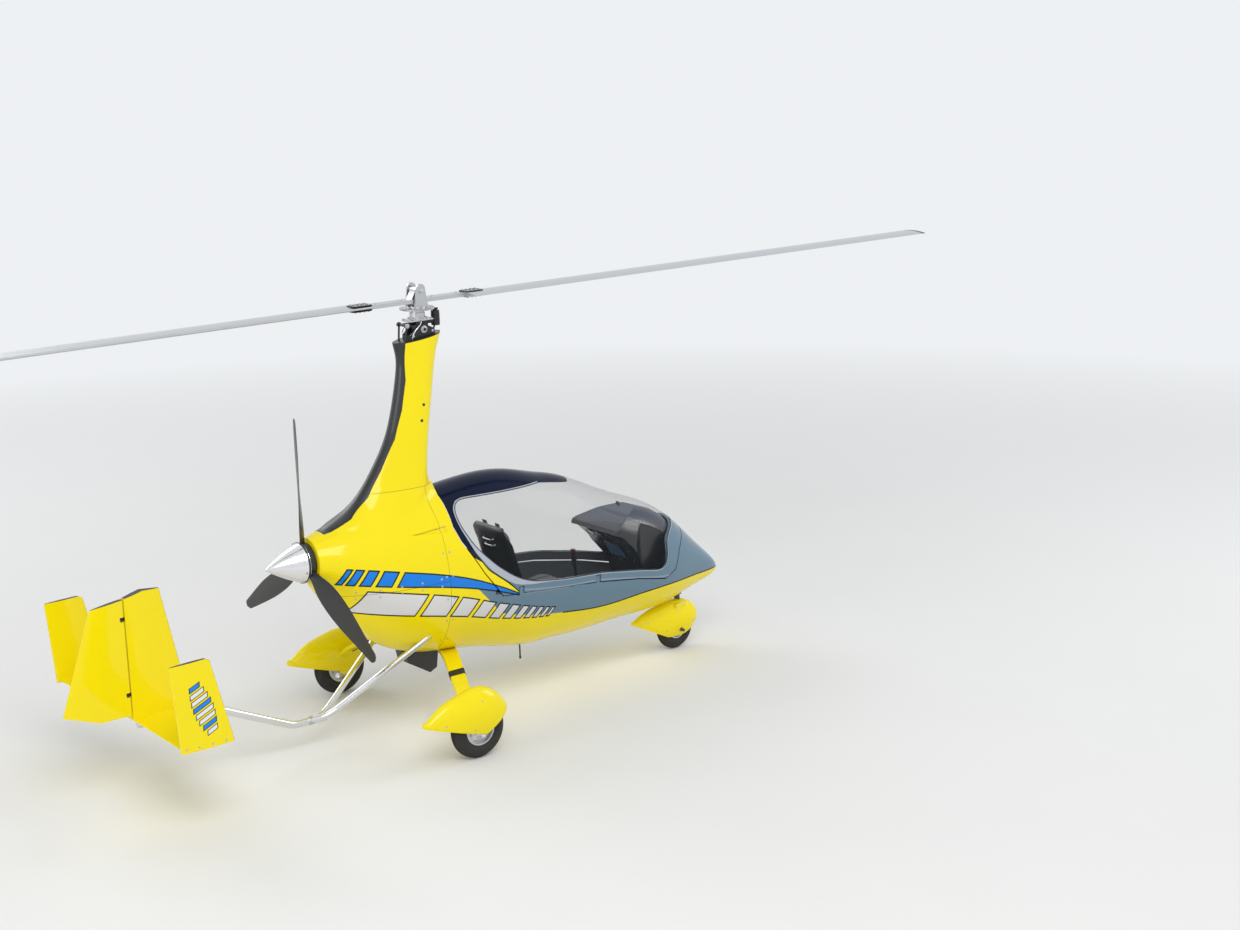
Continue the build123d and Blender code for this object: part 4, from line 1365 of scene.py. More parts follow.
@dataclass
class Airframe:
    """Body shells, mast, cowls, cabin structure and what is fixed under the belly."""

    shop: Workshop
    screw_radius: float = 0.0065
    seam_offset: float = 0.022
    # The screws along the level and the upright joint: the first place and the step to the next
    screw_count: int = 6
    level_row: tuple[float, float] = (-0.14, -0.13)
    upright_row: tuple[float, float] = (0.56, 0.14)
    # Side view places of the buttons on the mast
    buttons: Line = ((-0.045, 1.988), (-0.066, 1.894))

    def build(self) -> None:
        """Builds every piece of the airframe."""
        for node, lining in (("fuselage_tub", LINING), ("engine_cowl", CAST), ("lower_cowl", CAST),
                             ("mast_fairing", None)):
            self.shop.dress(node, BODY, 32, lining)
        for node, finish in (("mast_trim", TRIM), ("rear_bulkhead", LINING), ("cabin_floor", CARPET),
                             ("engine_block", CAST), ("belly_scoop", TRIM), ("belly_aerial", TRIM)):
            self.shop.dress(node, finish, 32)
        self.cowl_screws()
        self.mast_buttons()
        self.aerial_foot()

    def cowl_screws(self) -> None:
        """Adds the rows of screws along the joints of the rear cowls."""
        skin = self.shop.skin("engine_cowl", "lower_cowl", "fuselage_tub")
        places = []
        for step in range(self.screw_count):
            x = self.level_row[0] + step * self.level_row[1]
            z = self.upright_row[0] + step * self.upright_row[1]
            for offset in (-self.seam_offset, self.seam_offset):
                places += [(x, COWL_JOINT_Z + offset), (COWL_JOINT_X + offset, z)]
        self.shop.screws(self.shop.spots(skin, places), self.screw_radius, "cowl_screws", "airframe")

    def mast_buttons(self) -> None:
        """Adds the two small dark buttons on each side near the front edge of the mast."""
        spots = self.shop.spots(self.shop.skin("mast_fairing"), self.buttons)
        made = [cylinder(0.009, 0.005, spot, normal, 20) for spot, normal in spots]
        self.shop.join(made, "mast_buttons", TRIM, "airframe")

    def aerial_foot(self) -> None:
        """Adds the foot plate and the tip of the aerial under the belly."""
        low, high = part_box("belly_aerial")
        middle = (low + high) / 2
        foot = cylinder(0.022, 0.006, (middle.x, middle.y, high.z - 0.003), (0, 0, 1), 24)
        tip = cylinder(0.0068, 0.016, (middle.x, middle.y, low.z + 0.009), (0, 0, 1), 16)
        self.shop.join([foot, tip], "aerial_foot", TRIM, "airframe")


@dataclass
class Canopy:
    """The hinged canopy: frame, clear dome, dark roof, the pale surround and the seal of the window."""

    shop: Workshop
    # Side view corners (x, z) of the window, from the top rear round the bottom to the top front
    edge: Line = (
        (0.091, 1.392), (0.046, 1.352), (0.050, 1.262), (0.116, 1.125), (0.253, 0.981), (0.397, 0.876),
        (0.508, 0.834), (0.738, 0.801), (1.054, 0.779), (1.378, 0.722), (1.602, 0.672), (1.650, 0.700),
        (1.672, 0.860), (1.868, 0.960),
    )
    # Top edge of the window under the roof, from front to rear
    top_edge: Line = ((0.726, 1.384), (0.497, 1.387), (0.091, 1.392))
    # Width of the pale strip along X
    strip_widths: Line = (
        (0.05, 0.010), (0.095, 0.015), (0.145, 0.028), (0.235, 0.044), (0.327, 0.046), (0.397, 0.044),
        (0.470, 0.028), (0.560, 0.014), (0.660, 0.009), (2.0, 0.009),
    )
    # The strip's width above a height, under the roof
    top_width: float = 0.007
    top_z: float = 1.345
    seal_radius: float = 0.003
    # How far apart the places along the window's edge are, and how often their corners are eased
    edge_step: float = 0.02
    edge_easing: int = 8
    # Where the strip starts outside the edge, how high over the skin it lies and how thick it is
    strip_start: float = 0.003
    strip_lift: float = 0.0012
    strip_thick: float = 0.0016
    latch_place: tuple[float, float] = (0.92, 0.765)

    def build(self) -> None:
        """Builds every piece of the canopy."""
        self.shop.dress("canopy_frame", FRAME_PAINT, 32, LINING)
        self.shop.dress("canopy_roof", ROOF, 32, LINING)
        self.shop.dress("canopy_glass", CLEAR, 40)
        self.shop.dress("canopy_hinges", HINGE_PAINT, 30)
        self.surround()
        self.latch()

    def surround(self) -> None:
        """Adds the pale strip and the black seal that follow the window's edge on both sides."""
        skin = self.shop.skin("canopy_frame", "canopy_glass", "canopy_roof")
        corners = [Vector(corner) for corner in (*self.top_edge, *self.edge[1:])]
        line = eased(spread(corners, self.edge_step), self.edge_easing)
        for side in Side:
            points = [spot + normal * 0.001 for spot, normal in self.shop.spots(skin, line, (side,))]
            seal = tube(points, self.seal_radius, 2, False)
            self.shop.join([seal], "window_seal_" + side.name.lower(), SEAL, "canopy")
            self.ribbon(skin, line, side)

    def ribbon(self, skin: BVHTree, line: Sequence[Vector], side: Side) -> None:
        """Lays a flat pale strip on the skin just outside a line.

        Args:
            skin: The skin that it lies on.
            line: Places along its inner edge in side view.
            side: The side of the aircraft.
        """
        rows = []
        for place, before, after in zip(line, [line[0], *line], [*line[1:], line[-1]]):
            way = (after - before).normalized()
            out = Vector((way.y, -way.x))
            width = self.top_width if place.y > self.top_z else between(self.strip_widths, place.x)[0]
            offsets = (self.strip_start, width * 0.35, width * 0.70, width)
            across = [place + out * offset for offset in offsets]
            found = self.shop.spots(skin, across, (side,))
            if len(found) == len(across):
                rows.append([spot + normal * self.strip_lift for spot, normal in found])
        strip = sheet("strip", rows, flip=side is Side.RIGHT)
        modify(strip, "SOLIDIFY", thickness=self.strip_thick, offset=1.0)
        self.shop.join([strip], "window_strip_" + side.name.lower(), STRIP_PAINT, "canopy", 50)

    def latch(self) -> None:
        """Adds the small black latch knob low on the left of the frame."""
        skin = self.shop.skin("canopy_frame")
        for spot, normal in self.shop.spots(skin, [self.latch_place], [Side.LEFT]):
            plate = cylinder(0.018, 0.005, spot, normal, 28)
            lever = block(spot + Vector((-0.045, 0, -0.007)), spot + Vector((0.012, 0.012, 0.007)), 0.003)
            self.shop.join([plate, lever], "canopy_latch", TRIM, "canopy")


@dataclass
class Wheel:
    """One wheel: a grooved tyre, its rim, the rim's bolts and the valve."""

    shop: Workshop
    name: str
    grooves: int = 3
    groove_depth: float = 0.005
    groove_half: float = 0.0025
    steps: int = 96
    # How much smaller the tyre is made than its node
    shrink: float = 0.0004
    # How far the tread bulges, and the half widths of tread and bead as shares of the tyre's
    crown: float = 0.014
    tread_share: float = 0.62
    bead_share: float = 0.72
    # The ribs round the sidewall: their height and at which of its steps they are
    rib: float = 0.0012
    rib_steps: tuple[int, ...] = (4, 10)
    wall_steps: int = 14
    crown_steps: int = 48
    # The rim's bolts, and where their ring and the valve are as shares of the rim's radius
    bolts: int = 5
    bolt_ring: float = 0.62
    valve_share: float = 0.86

    def build(self) -> None:
        """Builds the tyre and dresses the rim."""
        tyre_node = self.name.replace("wheel", "tyre")
        rim_node = self.name.replace("wheel", "rim")
        low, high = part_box(tyre_node)
        middle = (low + high) / 2
        rim_low, rim_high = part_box(rim_node)
        radius = (high.x - low.x) / 2
        rim_radius = (rim_high.x - rim_low.x) / 2
        half = (high.y - low.y) / 2
        body = self.shop.body_of[tyre_node]
        section = self.profile(radius - self.shrink, rim_radius, half - self.shrink)
        tyre = self.lathe(section, middle)
        self.shop.add(tyre, tyre_node + "_rubber", TYRE, body, tyre_node)
        self.shop.dress(rim_node, RIM, 30)
        self.hub(middle, rim_radius, half, body)

    def profile(self, radius: float, rim_radius: float, half: float) -> list[tuple[float, float]]:
        """The section of the tyre, with its tread grooves and sidewall ribs.

        Args:
            radius: The tyre's outer radius.
            rim_radius: The radius at which it meets the rim.
            half: Its half width.

        Returns:
            The corners of the closed section as (radius, width).
        """
        tread, bead = half * self.tread_share, half * self.bead_share
        shoulder = radius - self.crown
        count = self.grooves + 1
        middles = [(-1 + 2 * (index + 1) / count) * tread * 0.9 for index in range(self.grooves)]
        points = []
        for index in range(self.crown_steps + 1):
            place = -1 + 2 * index / self.crown_steps
            r = shoulder + self.crown * (1 - place * place)
            inside = any(abs(place * tread - middle) < self.groove_half for middle in middles)
            points.append((r - self.groove_depth if inside else r, place * tread))
        wall = []
        for index in range(1, self.wall_steps):
            share = index / self.wall_steps
            rib = self.rib if index in self.rib_steps else 0.0
            bulge = (half - (tread + bead) / 2) * math.sin(math.pi * share)
            width = tread + (bead - tread) * share + bulge + rib
            wall.append((shoulder + (rim_radius - shoulder) * share, width))
        wall.append((rim_radius, bead))
        points += [*wall, *((r, -y) for r, y in reversed(wall))]
        return [(r, max(-half, min(half, y))) for r, y in points]

    def lathe(self, profile: Sequence[tuple[float, float]], middle: Vector) -> bpy.types.Object:
        """Spins a closed (radius, width) section round the wheel's axle.

        Args:
            profile: The points of the section.
            middle: The middle of the wheel.

        Returns:
            The solid.
        """
        mesh = bmesh.new()
        verts = [mesh.verts.new((r, y, 0)) for r, y in profile]
        for index, vertex in enumerate(verts):
            mesh.edges.new((vertex, verts[(index + 1) % len(verts)]))
        made = built(mesh, "section")
        only(made)
        bpy.ops.object.mode_set(mode="EDIT")
        bpy.ops.mesh.select_all(action="SELECT")
        bpy.ops.mesh.spin(steps=self.steps, angle=math.tau, center=(0, 0, 0), axis=(0, 1, 0))
        bpy.ops.mesh.select_all(action="SELECT")
        bpy.ops.mesh.remove_doubles(threshold=0.00002)
        bpy.ops.mesh.normals_make_consistent(inside=False)
        leave()
        put(made, Matrix.Translation(middle))
        smooth(made, 28)
        return made

    def hub(self, middle: Vector, rim_radius: float, half: float, body: str) -> None:
        """Adds the ring of bolts on each face of the rim, and the valve.

        Args:
            middle: The middle of the wheel.
            rim_radius: The radius of the rim.
            half: Half the width of the tyre.
            body: The body that it turns with.
        """
        made = []
        ring = rim_radius * self.bolt_ring
        for side in Side:
            for index in range(self.bolts):
                turn = math.tau * index / self.bolts
                spot = middle + Vector((ring * math.cos(turn), side.value * 0.006, ring * math.sin(turn)))
                made.append(hex_bolt(spot, (0, side.value, 0), 0.0055, 0.007))
        valve = middle + Vector((rim_radius * self.valve_share - 0.004, half * 0.35, 0))
        made.append(cylinder(0.004, 0.03, valve, (0, 1, 0), 12))
        self.shop.join(made, self.name + "_bolts", STEEL, body)


@dataclass(frozen=True)
class Fairing:
    """What is fixed to one wheel fairing: side view places of its screws, and the line of its lower edge."""

    node: str
    middle: float
    sides: tuple[Side, ...]
    screws: Line
    edge: Line


MAIN_SCREWS = ((-0.30, 0.20), (-0.10, 0.235), (-0.48, 0.262), (-0.235, 0.36))
MAIN_EDGE = ((-0.585, 0.272), (-0.40, 0.218), (-0.215, 0.165), (-0.150, 0.206), (-0.075, 0.256))
FAIRINGS = (
    Fairing("main_spat_left", 0.782, (Side.LEFT,), MAIN_SCREWS, MAIN_EDGE),
    Fairing("main_spat_right", -0.782, (Side.RIGHT,), MAIN_SCREWS, MAIN_EDGE),
    Fairing("nose_spat", 0.0, tuple(Side), ((1.80, 0.155), (2.03, 0.185), (1.66, 0.235), (1.90, 0.27)),
            ((1.60, 0.234), (1.72, 0.176), (1.835, 0.113), (1.975, 0.108), (2.040, 0.156))),
)


@dataclass
class Gear:
    """The main gear bow with its wheel fairings, and the steering nose gear."""

    shop: Workshop
    band_y: tuple[float, float] = (0.428, 0.482)
    band_thick: float = 0.0022
    lip_radius: float = 0.0018
    lip_steps: int = 12
    # The brake pipe of the left leg, from the body to the wheel
    brake_line: tuple[Point, ...] = (
        (0.03, 0.10, 0.4165), (-0.018, 0.20, 0.4185), (-0.082, 0.33, 0.4105), (-0.14, 0.45, 0.390),
        (-0.186, 0.56, 0.3525), (-0.214, 0.64, 0.306),
    )

    def build(self) -> None:
        """Builds every piece of the landing gear."""
        for node in ("main_gear_bow", "main_spat_left", "main_spat_right", "nose_spat"):
            self.shop.dress(node, PAINT, 32)
        self.shop.dress("nose_fork", FORK_PAINT, 30)
        self.shop.dress("nose_leg_tube", HEAD, 30)
        for name in ("main_wheel_left", "main_wheel_right", "nose_wheel"):
            Wheel(self.shop, name).build()
        for fairing in FAIRINGS:
            self.fairing_screws(fairing)
        for fairing in FAIRINGS:
            self.fairing_lips(fairing)
        self.leg_bands()
        self.brake_pipes()

    def fairing_screws(self, plan: Fairing) -> None:
        """Adds the screws low on a wheel fairing."""
        spots = self.shop.spots(self.shop.skin(plan.node), plan.screws, plan.sides)
        self.shop.screws(spots, 0.006, plan.node + "_screws", self.shop.body_of[plan.node])

    def fairing_lips(self, plan: Fairing) -> None:
        """Adds the moulded lip along the lower edge of a wheel fairing.

        Args:
            plan: The fairing.
        """
        tree = self.shop.skin(plan.node)
        lips = []
        for way in (-1, 1):
            corners = [Vector((x, plan.middle + way * 0.3, z)) for x, z in plan.edge]
            starts = [low.lerp(high, step / self.lip_steps)
                      for low, high in zip(corners, corners[1:]) for step in range(self.lip_steps)]
            found = [tree.ray_cast(start, Vector((0, -way, 0)), 0.3)[0] for start in starts]
            points = [spot for spot in found if spot is not None]
            if len(points) > 4:
                lips.append(tube(points, self.lip_radius, 2, False))
        self.shop.join(lips, plan.node + "_lips", PAINT, self.shop.body_of[plan.node])

    def leg_bands(self) -> None:
        """Adds the dark sleeve round the middle of each leg."""
        for side in Side:
            sleeve = self.shop.copy("main_gear_bow")
            cut = bmesh.new()
            cut.from_mesh(sleeve.data)
            for y, way in ((self.band_y[0], 1), (self.band_y[1], -1)):
                everything = cut.verts[:] + cut.edges[:] + cut.faces[:]
                bmesh.ops.bisect_plane(cut, geom=everything, plane_co=(0, side.value * y, 0),
                                       plane_no=(0, side.value * way, 0), clear_inner=True)
            cut.to_mesh(sleeve.data)
            cut.free()
            modify(sleeve, "SOLIDIFY", thickness=self.band_thick, offset=1.0)
            self.shop.join([sleeve], "leg_band_" + side.name.lower(), SEAL, "airframe", 30)

    def brake_pipes(self) -> None:
        """Adds the thin brake pipe under each leg."""
        for side in Side:
            pipe = tube([(x, side.value * y, z) for x, y, z in self.brake_line], 0.0035, 3)
            self.shop.join([pipe], "brake_pipe_" + side.name.lower(), TRIM, "airframe")


@dataclass
class Tail:
    """The boom and the tail surfaces with their dark edges and small fittings."""

    shop: Workshop
    screw_x: tuple[float, ...] = (-1.86, -1.94, -2.02, -2.09)
    screw_z: float = 0.530
    sleeve_radius: float = 0.0268

    def build(self) -> None:
        """Builds every piece of the tail."""
        self.shop.dress("tail_boom", POLISHED, 40)
        self.shop.dress("stabiliser", PAINT, 30)
        for node, finish in (("fin", PAINT), ("rudder", PAINT), ("end_plate_left", TAIL_PAINT),
                             ("end_plate_right", TAIL_PAINT)):
            self.edged(node, finish)
        self.shop.dress("rudder_hinges", HEAD, 30)
        self.joint_screws()
        self.boom_sleeves()

    def edged(self, node: str, finish: Finish) -> None:
        """Shows a tail surface with black faces along its top and its leading edge.

        Args:
            node: The tail surface.
            finish: The finish of its other faces.
        """
        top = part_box(node)[1].z

        def dark(face: bpy.types.MeshPolygon) -> bool:
            """Whether a face lies along the top or the leading edge.

            Args:
                face: The face.

            Returns:
                True for such a face.
            """
            upper = face.normal.z > 0.6 and face.center.z > top - 0.06
            front = node != "rudder" and face.normal.x > 0.62 and abs(face.normal.y) < 0.75
            return upper or front

        self.shop.dress(node, finish, 30, SEAL, dark)

    def joint_screws(self) -> None:
        """Adds the screws that hold the end plates."""
        skin = self.shop.skin("end_plate_left", "end_plate_right")
        spots = self.shop.spots(skin, [(x, self.screw_z) for x in self.screw_x])
        self.shop.screws(spots, 0.006, "end_plate_screws", "airframe")

    def boom_sleeves(self) -> None:
        """Adds the bright sleeves where the two tubes meet and where the boom enters the tail."""
        made = [cylinder(self.sleeve_radius, 0.034, (-0.905, 0, 0.1833), (1, 0, 0), 36),
                cylinder(self.sleeve_radius, 0.030, (-1.600, 0, 0.4235), (1, 0, -0.36), 36)]
        self.shop.join(made, "boom_sleeves", STEEL, "airframe")


@dataclass
class RotorSystem:
    """The rotor head with its bolts, pipes and cable, the hub bar and the blades."""

    shop: Workshop
    # The motor's cooling rings: how many, where the lowest one is and the step to the next
    motor_x: float = 0.128
    ring_count: int = 8
    ring_z: float = 2.452
    ring_step: float = 0.008
    motor_cable: tuple[Point, ...] = (
        (0.128, 0.012, 2.4405), (0.127, 0.014, 2.428), (0.118, 0.018, 2.415), (0.104, 0.020, 2.409),
        (0.096, 0.020, 2.398),
    )
    flange_bolts: int = 8
    flange_radius: float = 0.053
    # The left one of the two bright pipes behind the plates
    pipe_line: tuple[Point, ...] = (
        (-0.074, 0.050, 2.376), (-0.076, 0.060, 2.402), (-0.060, 0.068, 2.436), (-0.026, 0.066, 2.462),
        (-0.010, 0.060, 2.480), (-0.008, 0.047, 2.4885),
    )

    def build(self) -> None:
        """Builds every piece of the rotor system."""
        for node, finish in (("head_base", HEAD), ("bearing_housing", HEAD_BRIGHT), ("spin_up_motor", HEAD),
                             ("rotor_tower", HEAD_BRIGHT), ("rotor_hub_bar", HUB),
                             ("rotor_blade_front", BLADE), ("rotor_blade_rear", BLADE)):
            self.shop.dress(node, finish, 30)
        self.hub_bolts()
        self.head_bolts()
        self.head_cables()

    def hub_bolts(self) -> None:
        """Adds the bolts through the clamp plates and the bar, and the nuts of the teeter bolt."""
        made, ends = [], []
        for way in (-1, 1):
            for z, up in ((2.6210, 1), (2.5850, -1)):
                made += [hex_bolt((way * x, y, z), (0, 0, up), 0.0055, 0.006)
                         for x in (0.350, 0.380, 0.410, 0.440) for y in (-0.030, 0.030)]
            for z, up, height in ((2.6150, 1, 0.007), (2.5910, -1, 0.005)):
                made += [hex_bolt((way * x, 0, z), (0, 0, up), 0.006, height) for x in (0.110, 0.285)]
            ends.append(hex_bolt((0, way * 0.0560, 2.662), (0, way, 0), 0.0125, 0.007))
            ends += [hex_bolt((way * 0.0495, y, 2.5710), (0, 0, 1), 0.0042, 0.005) for y in (-0.022, 0.022)]
        self.shop.join(made, "hub_bar_bolts", STEEL, "rotor")
        self.shop.join(ends, "tower_bolts", STEEL, "rotor_head")

    def head_bolts(self) -> None:
        """Adds the bolts of the housing flange, the torque plate, the side plates and the control bar."""
        turns = [math.tau * (index + 0.5) / self.flange_bolts for index in range(self.flange_bolts)]
        ring = self.flange_radius
        made = [hex_bolt((ring * math.cos(turn), ring * math.sin(turn), 2.500), (0, 0, 1), 0.0035, 0.005)
                for turn in turns]
        made += [hex_bolt((x, y, 2.492), (0, 0, 1), 0.0055, 0.006)
                 for x in (-0.076, 0.074) for y in (-0.036, 0.036)]
        for x, y, z, radius, height in ((0.014, 0.046, 2.432, 0.0165, 0.008),
                                        (-0.062, 0.046, 2.3965, 0.0060, 0.006),
                                        (0.074, 0.046, 2.4170, 0.0060, 0.006),
                                        (-0.104, 0.049, 2.466, 0.0105, 0.005)):
            made += [hex_bolt((x, side.value * y, z), (0, side.value, 0), radius, height) for side in Side]
        self.shop.join(made, "head_bolts", STEEL, "airframe")

    def head_cables(self) -> None:
        """Adds the cooling rings and the cable of the spin-up motor, and the two bright pipes."""
        heights = [self.ring_z + self.ring_step * index for index in range(self.ring_count)]
        rings = [cylinder(0.0272, 0.0028, (self.motor_x, 0, z), (0, 0, 1), 40) for z in heights]
        self.shop.join(rings, "motor_rings", HEAD, "airframe")
        self.shop.join([tube(self.motor_cable, 0.0055, 4)], "motor_cable", TRIM, "airframe")
        pipes = [tube([(x, side.value * y, z) for x, y, z in self.pipe_line], 0.0038, 4) for side in Side]
        self.shop.join(pipes, "head_pipes", POLISHED, "airframe")


@dataclass
class PropellerUnit:
    """The pusher propeller with its spinner and the spinner's screws."""

    shop: Workshop
    middle: Point = (-0.875, 0.0, 1.158)
    count: int = 3
    tip: float = 0.8597
    round_from: float = 0.832
    foil_points: int = 36
    # How many steps there are from root to rounded tip, and in the tip
    blade_steps: int = 44
    tip_steps: int = 10
    # Shares of the thickness on the two sides of the chord, and how much fuller the foil's front is
    foil_sides: tuple[float, float] = (0.62, 0.36)
    foil_front: float = 0.20
    # The spinner's screws: how many, how far before its back and at what share of its radius
    screw_count: int = 9
    screw_back: float = 0.024
    screw_share: float = 0.962
    # Radius, chord, thickness and pitch in degrees along a blade
    rows: tuple[tuple[float, float, float, float], ...] = (
        (0.096, 0.044, 0.0300, 60.0), (0.150, 0.060, 0.0270, 48.0), (0.205, 0.088, 0.0230, 42.0),
        (0.260, 0.112, 0.0200, 38.0), (0.340, 0.127, 0.0175, 33.0), (0.430, 0.130, 0.0150, 29.0),
        (0.520, 0.124, 0.0130, 25.0), (0.620, 0.106, 0.0108, 21.5), (0.720, 0.084, 0.0088, 19.0),
        (0.800, 0.066, 0.0072, 17.0), (0.860, 0.052, 0.0060, 16.0),
    )

    def build(self) -> None:
        """Builds every piece of the propeller."""
        self.shop.dress("propeller_hub", PROP, 30)
        blades = self.blades()
        smooth(blades, 40)
        self.shop.add(blades, "propeller_blade_set", PROP, "propeller", "propeller_blades")
        self.shop.dress("spinner", CHROME, 40)
        low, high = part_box("spinner")
        middle = Vector((high.x, 0, (low.z + high.z) / 2))
        radius = (high.z - low.z) / 2
        base = cylinder(radius - 0.0004, 0.012, (high.x - 0.0062, 0, middle.z), (1, 0, 0), 72)
        self.shop.join([base], "spinner_base_ring", TRIM, "propeller")
        spots = []
        for index in range(self.screw_count):
            turn = math.tau * index / self.screw_count
            out = Vector((0, math.cos(turn), math.sin(turn)))
            spot = middle + out * (radius * self.screw_share) + Vector((-self.screw_back, 0, 0))
            spots.append((spot, (out + Vector((-0.3, 0, 0))).normalized()))
        self.shop.screws(spots, 0.0055, "spinner_screws", "propeller")

    def blades(self) -> bpy.types.Object:
        """The twisted blades: runs of foil sections from inside the hub to rounded tips.

        Returns:
            The blades as one mesh.
        """
        root, rounded = self.rows[0][0], self.round_from
        radii = [root + (rounded - root) * index / self.blade_steps for index in range(self.blade_steps + 1)]
        radii += [rounded + (self.tip - rounded) * math.sin(math.pi / 2 * index / self.tip_steps)
                  for index in range(1, self.tip_steps)]
        held = eased([Vector(between(self.rows, radius)) for radius in radii], 3)
        runs = []
        for blade in range(self.count):
            turn = Matrix.Rotation(math.tau * blade / self.count, 3, "X")
            place = Matrix.Translation(self.middle) @ turn.to_4x4()
            runs.append([self.foil(place, radius, *values) for radius, values in zip(radii, held)])
        return sheet("blades", *runs, ring=True)

    def foil(self, place: Matrix, radius: float, chord: float, thick: float, pitch: float) -> list[Vector]:
        """One section of a blade.

        Args:
            place: The placing of the blade.
            radius: The section's distance from the axis.
            chord: Its width, before the tip is rounded.
            thick: Its thickness.
            pitch: Its pitch in degrees.

        Returns:
            The points round the section.
        """
        past = max(0.0, (radius - self.round_from) / (self.tip - self.round_from))
        chord *= math.sqrt(1 - past * past)
        along = Vector((math.sin(math.radians(pitch)), math.cos(math.radians(pitch)), 0))
        across = Vector((-along.y, along.x, 0))
        points = []
        for index in range(self.foil_points):
            angle = math.tau * index / self.foil_points
            side = self.foil_sides[int(angle >= math.pi)]
            depth = math.sin(angle) * side * (1 - self.foil_front + self.foil_front * math.cos(angle))
            spot = along * (chord / 2 * math.cos(angle)) + across * (thick * depth)
            points.append(place @ (spot + Vector((0, 0, radius))))
        return points


@dataclass(frozen=True)
class Cushion:
    """A padded seat piece in its own frame: X across the seat, Y along its length, Z out of its face.

    The frame stands at a foot point in the aircraft's XZ plane, with Y along a side view direction.
    """

    name: str
    foot: tuple[float, float]
    along: tuple[float, float]
    half_width: float
    length: float
    thick: float
    swell: float
    corner: float = 0.045
    channels: tuple[float, ...] = (-0.052, 0.052)
    cross: tuple[float, ...] = ()
    # Depth of the seams, half widths of the long and the cross ones, and the rise of the whole face
    seam_depth: float = 0.0075
    channel_half: float = 0.0055
    cross_half: float = 0.0060
    crown: float = 0.010
    # The welt's radius, its height as a share of the thickness and how many points it has
    welt_radius: float = 0.0026
    welt_share: float = 0.72
    welt_points: int = 120
    voxel: float = 0.006
    pressure: float = 4.0
    frames: int = 20

    def matrix(self) -> Matrix:
        """The placing of the cushion's frame.

        Returns:
            The matrix.
        """
        along = Vector((self.along[0], 0, self.along[1])).normalized()
        across = Vector((0, 1, 0))
        out = across.cross(along)
        if out.z < 0 or (abs(along.z) > 0.5 and out.x < 0):
            across, out = -across, -out
        turn = Matrix((across, along, out)).transposed().to_4x4()
        return Matrix.Translation((self.foot[0], 0, self.foot[1])) @ turn

    def build(self) -> bpy.types.Object:
        """Builds the cushion: a filled form, its sewn channels and its place.

        Returns:
            The cushion.
        """
        pad = self.blank()
        self.fill(pad)
        modify(pad, "SUBSURF", levels=1, render_levels=1)
        self.sew(pad)
        put(pad, self.matrix())
        smooth(pad, 60)
        return pad

    def blank(self) -> bpy.types.Object:
        """The flat cut of the cushion, remeshed evenly.

        Returns:
            The cut.
        """
        inset = self.swell * 0.6
        low = (-self.half_width + inset, inset, 0.0)
        high = (self.half_width - inset, self.length - inset, self.thick)
        pad = box(low, high)
        upright = bmesh.new()
        upright.from_mesh(pad.data)
        corners = [edge for edge in upright.edges if abs(edge.verts[0].co.z - edge.verts[1].co.z) > 0.01]
        bmesh.ops.bevel(upright, geom=corners, offset=self.corner, segments=8, profile=0.5, affect="EDGES")
        upright.to_mesh(pad.data)
        upright.free()
        sharp = math.radians(50)
        modify(pad, "BEVEL", width=0.008, segments=3, limit_method="ANGLE", angle_limit=sharp)
        modify(pad, "REMESH", mode="VOXEL", voxel_size=self.voxel)
        return pad

    def fill(self, pad: bpy.types.Object) -> None:
        """Swells the cushion by cloth simulation, flat where it rests on its shell.

        Args:
            pad: The cut.
        """
        rest = [vertex.co.copy() for vertex in pad.data.vertices]
        only(pad)
        cloth = pad.modifiers.new("filling", "CLOTH")
        cloth.settings.use_pressure = True
        cloth.settings.uniform_pressure_force = self.pressure
        cloth.settings.effector_weights.gravity = 0.0
        cloth.settings.quality = 5
        cloth.point_cache.frame_start = 1
        cloth.point_cache.frame_end = self.frames
        for frame in range(1, self.frames + 1):
            bpy.context.scene.frame_set(frame)
        bpy.ops.object.modifier_apply(modifier=cloth.name)
        bpy.context.scene.frame_set(1)
        for vertex, start in zip(pad.data.vertices, rest):
            move = vertex.co - start
            if move.length > self.swell:
                move *= self.swell / move.length
            place = start + move
            place.z = max(place.z, -0.0015)
            vertex.co = place

    def sew(self, pad: bpy.types.Object) -> None:
        """Presses the sewn channels into the face of the cushion.

        Args:
            pad: The filled cushion.
        """
        for vertex in pad.data.vertices:
            x, y, z = vertex.co
            if z < self.thick * 0.5:
                continue
            depth = sum(math.exp(-((x - line) / self.channel_half) ** 2) for line in self.channels)
            depth += sum(math.exp(-((y - line) / self.cross_half) ** 2) for line in self.cross)
            rise = self.crown * (1 - (x / self.half_width) ** 2) * (1 - (2 * y / self.length - 1) ** 2)
            vertex.co.z = z + rise - self.seam_depth * min(depth, 1.0)

    def piping(self, pad: bpy.types.Object) -> bpy.types.Object:
        """A thin welt round the upper edge of the finished cushion.

        Args:
            pad: The cushion.

        Returns:
            The welt.
        """
        tree = tree_of(pad.data)
        place = self.matrix()
        middle = Vector((0, self.length / 2, self.thick * self.welt_share))
        points = []
        for index in range(self.welt_points):
            turn = math.tau * index / self.welt_points
            way = Vector((math.cos(turn), math.sin(turn), 0))
            start = middle + way * 0.6
            spot = tree.ray_cast(place @ start, place.to_3x3() @ -way, 0.6)[0]
            if spot is not None:
                points.append(spot)
        welt = tube([*points, points[0]], self.welt_radius, 2, False)
        smooth(welt)
        return welt

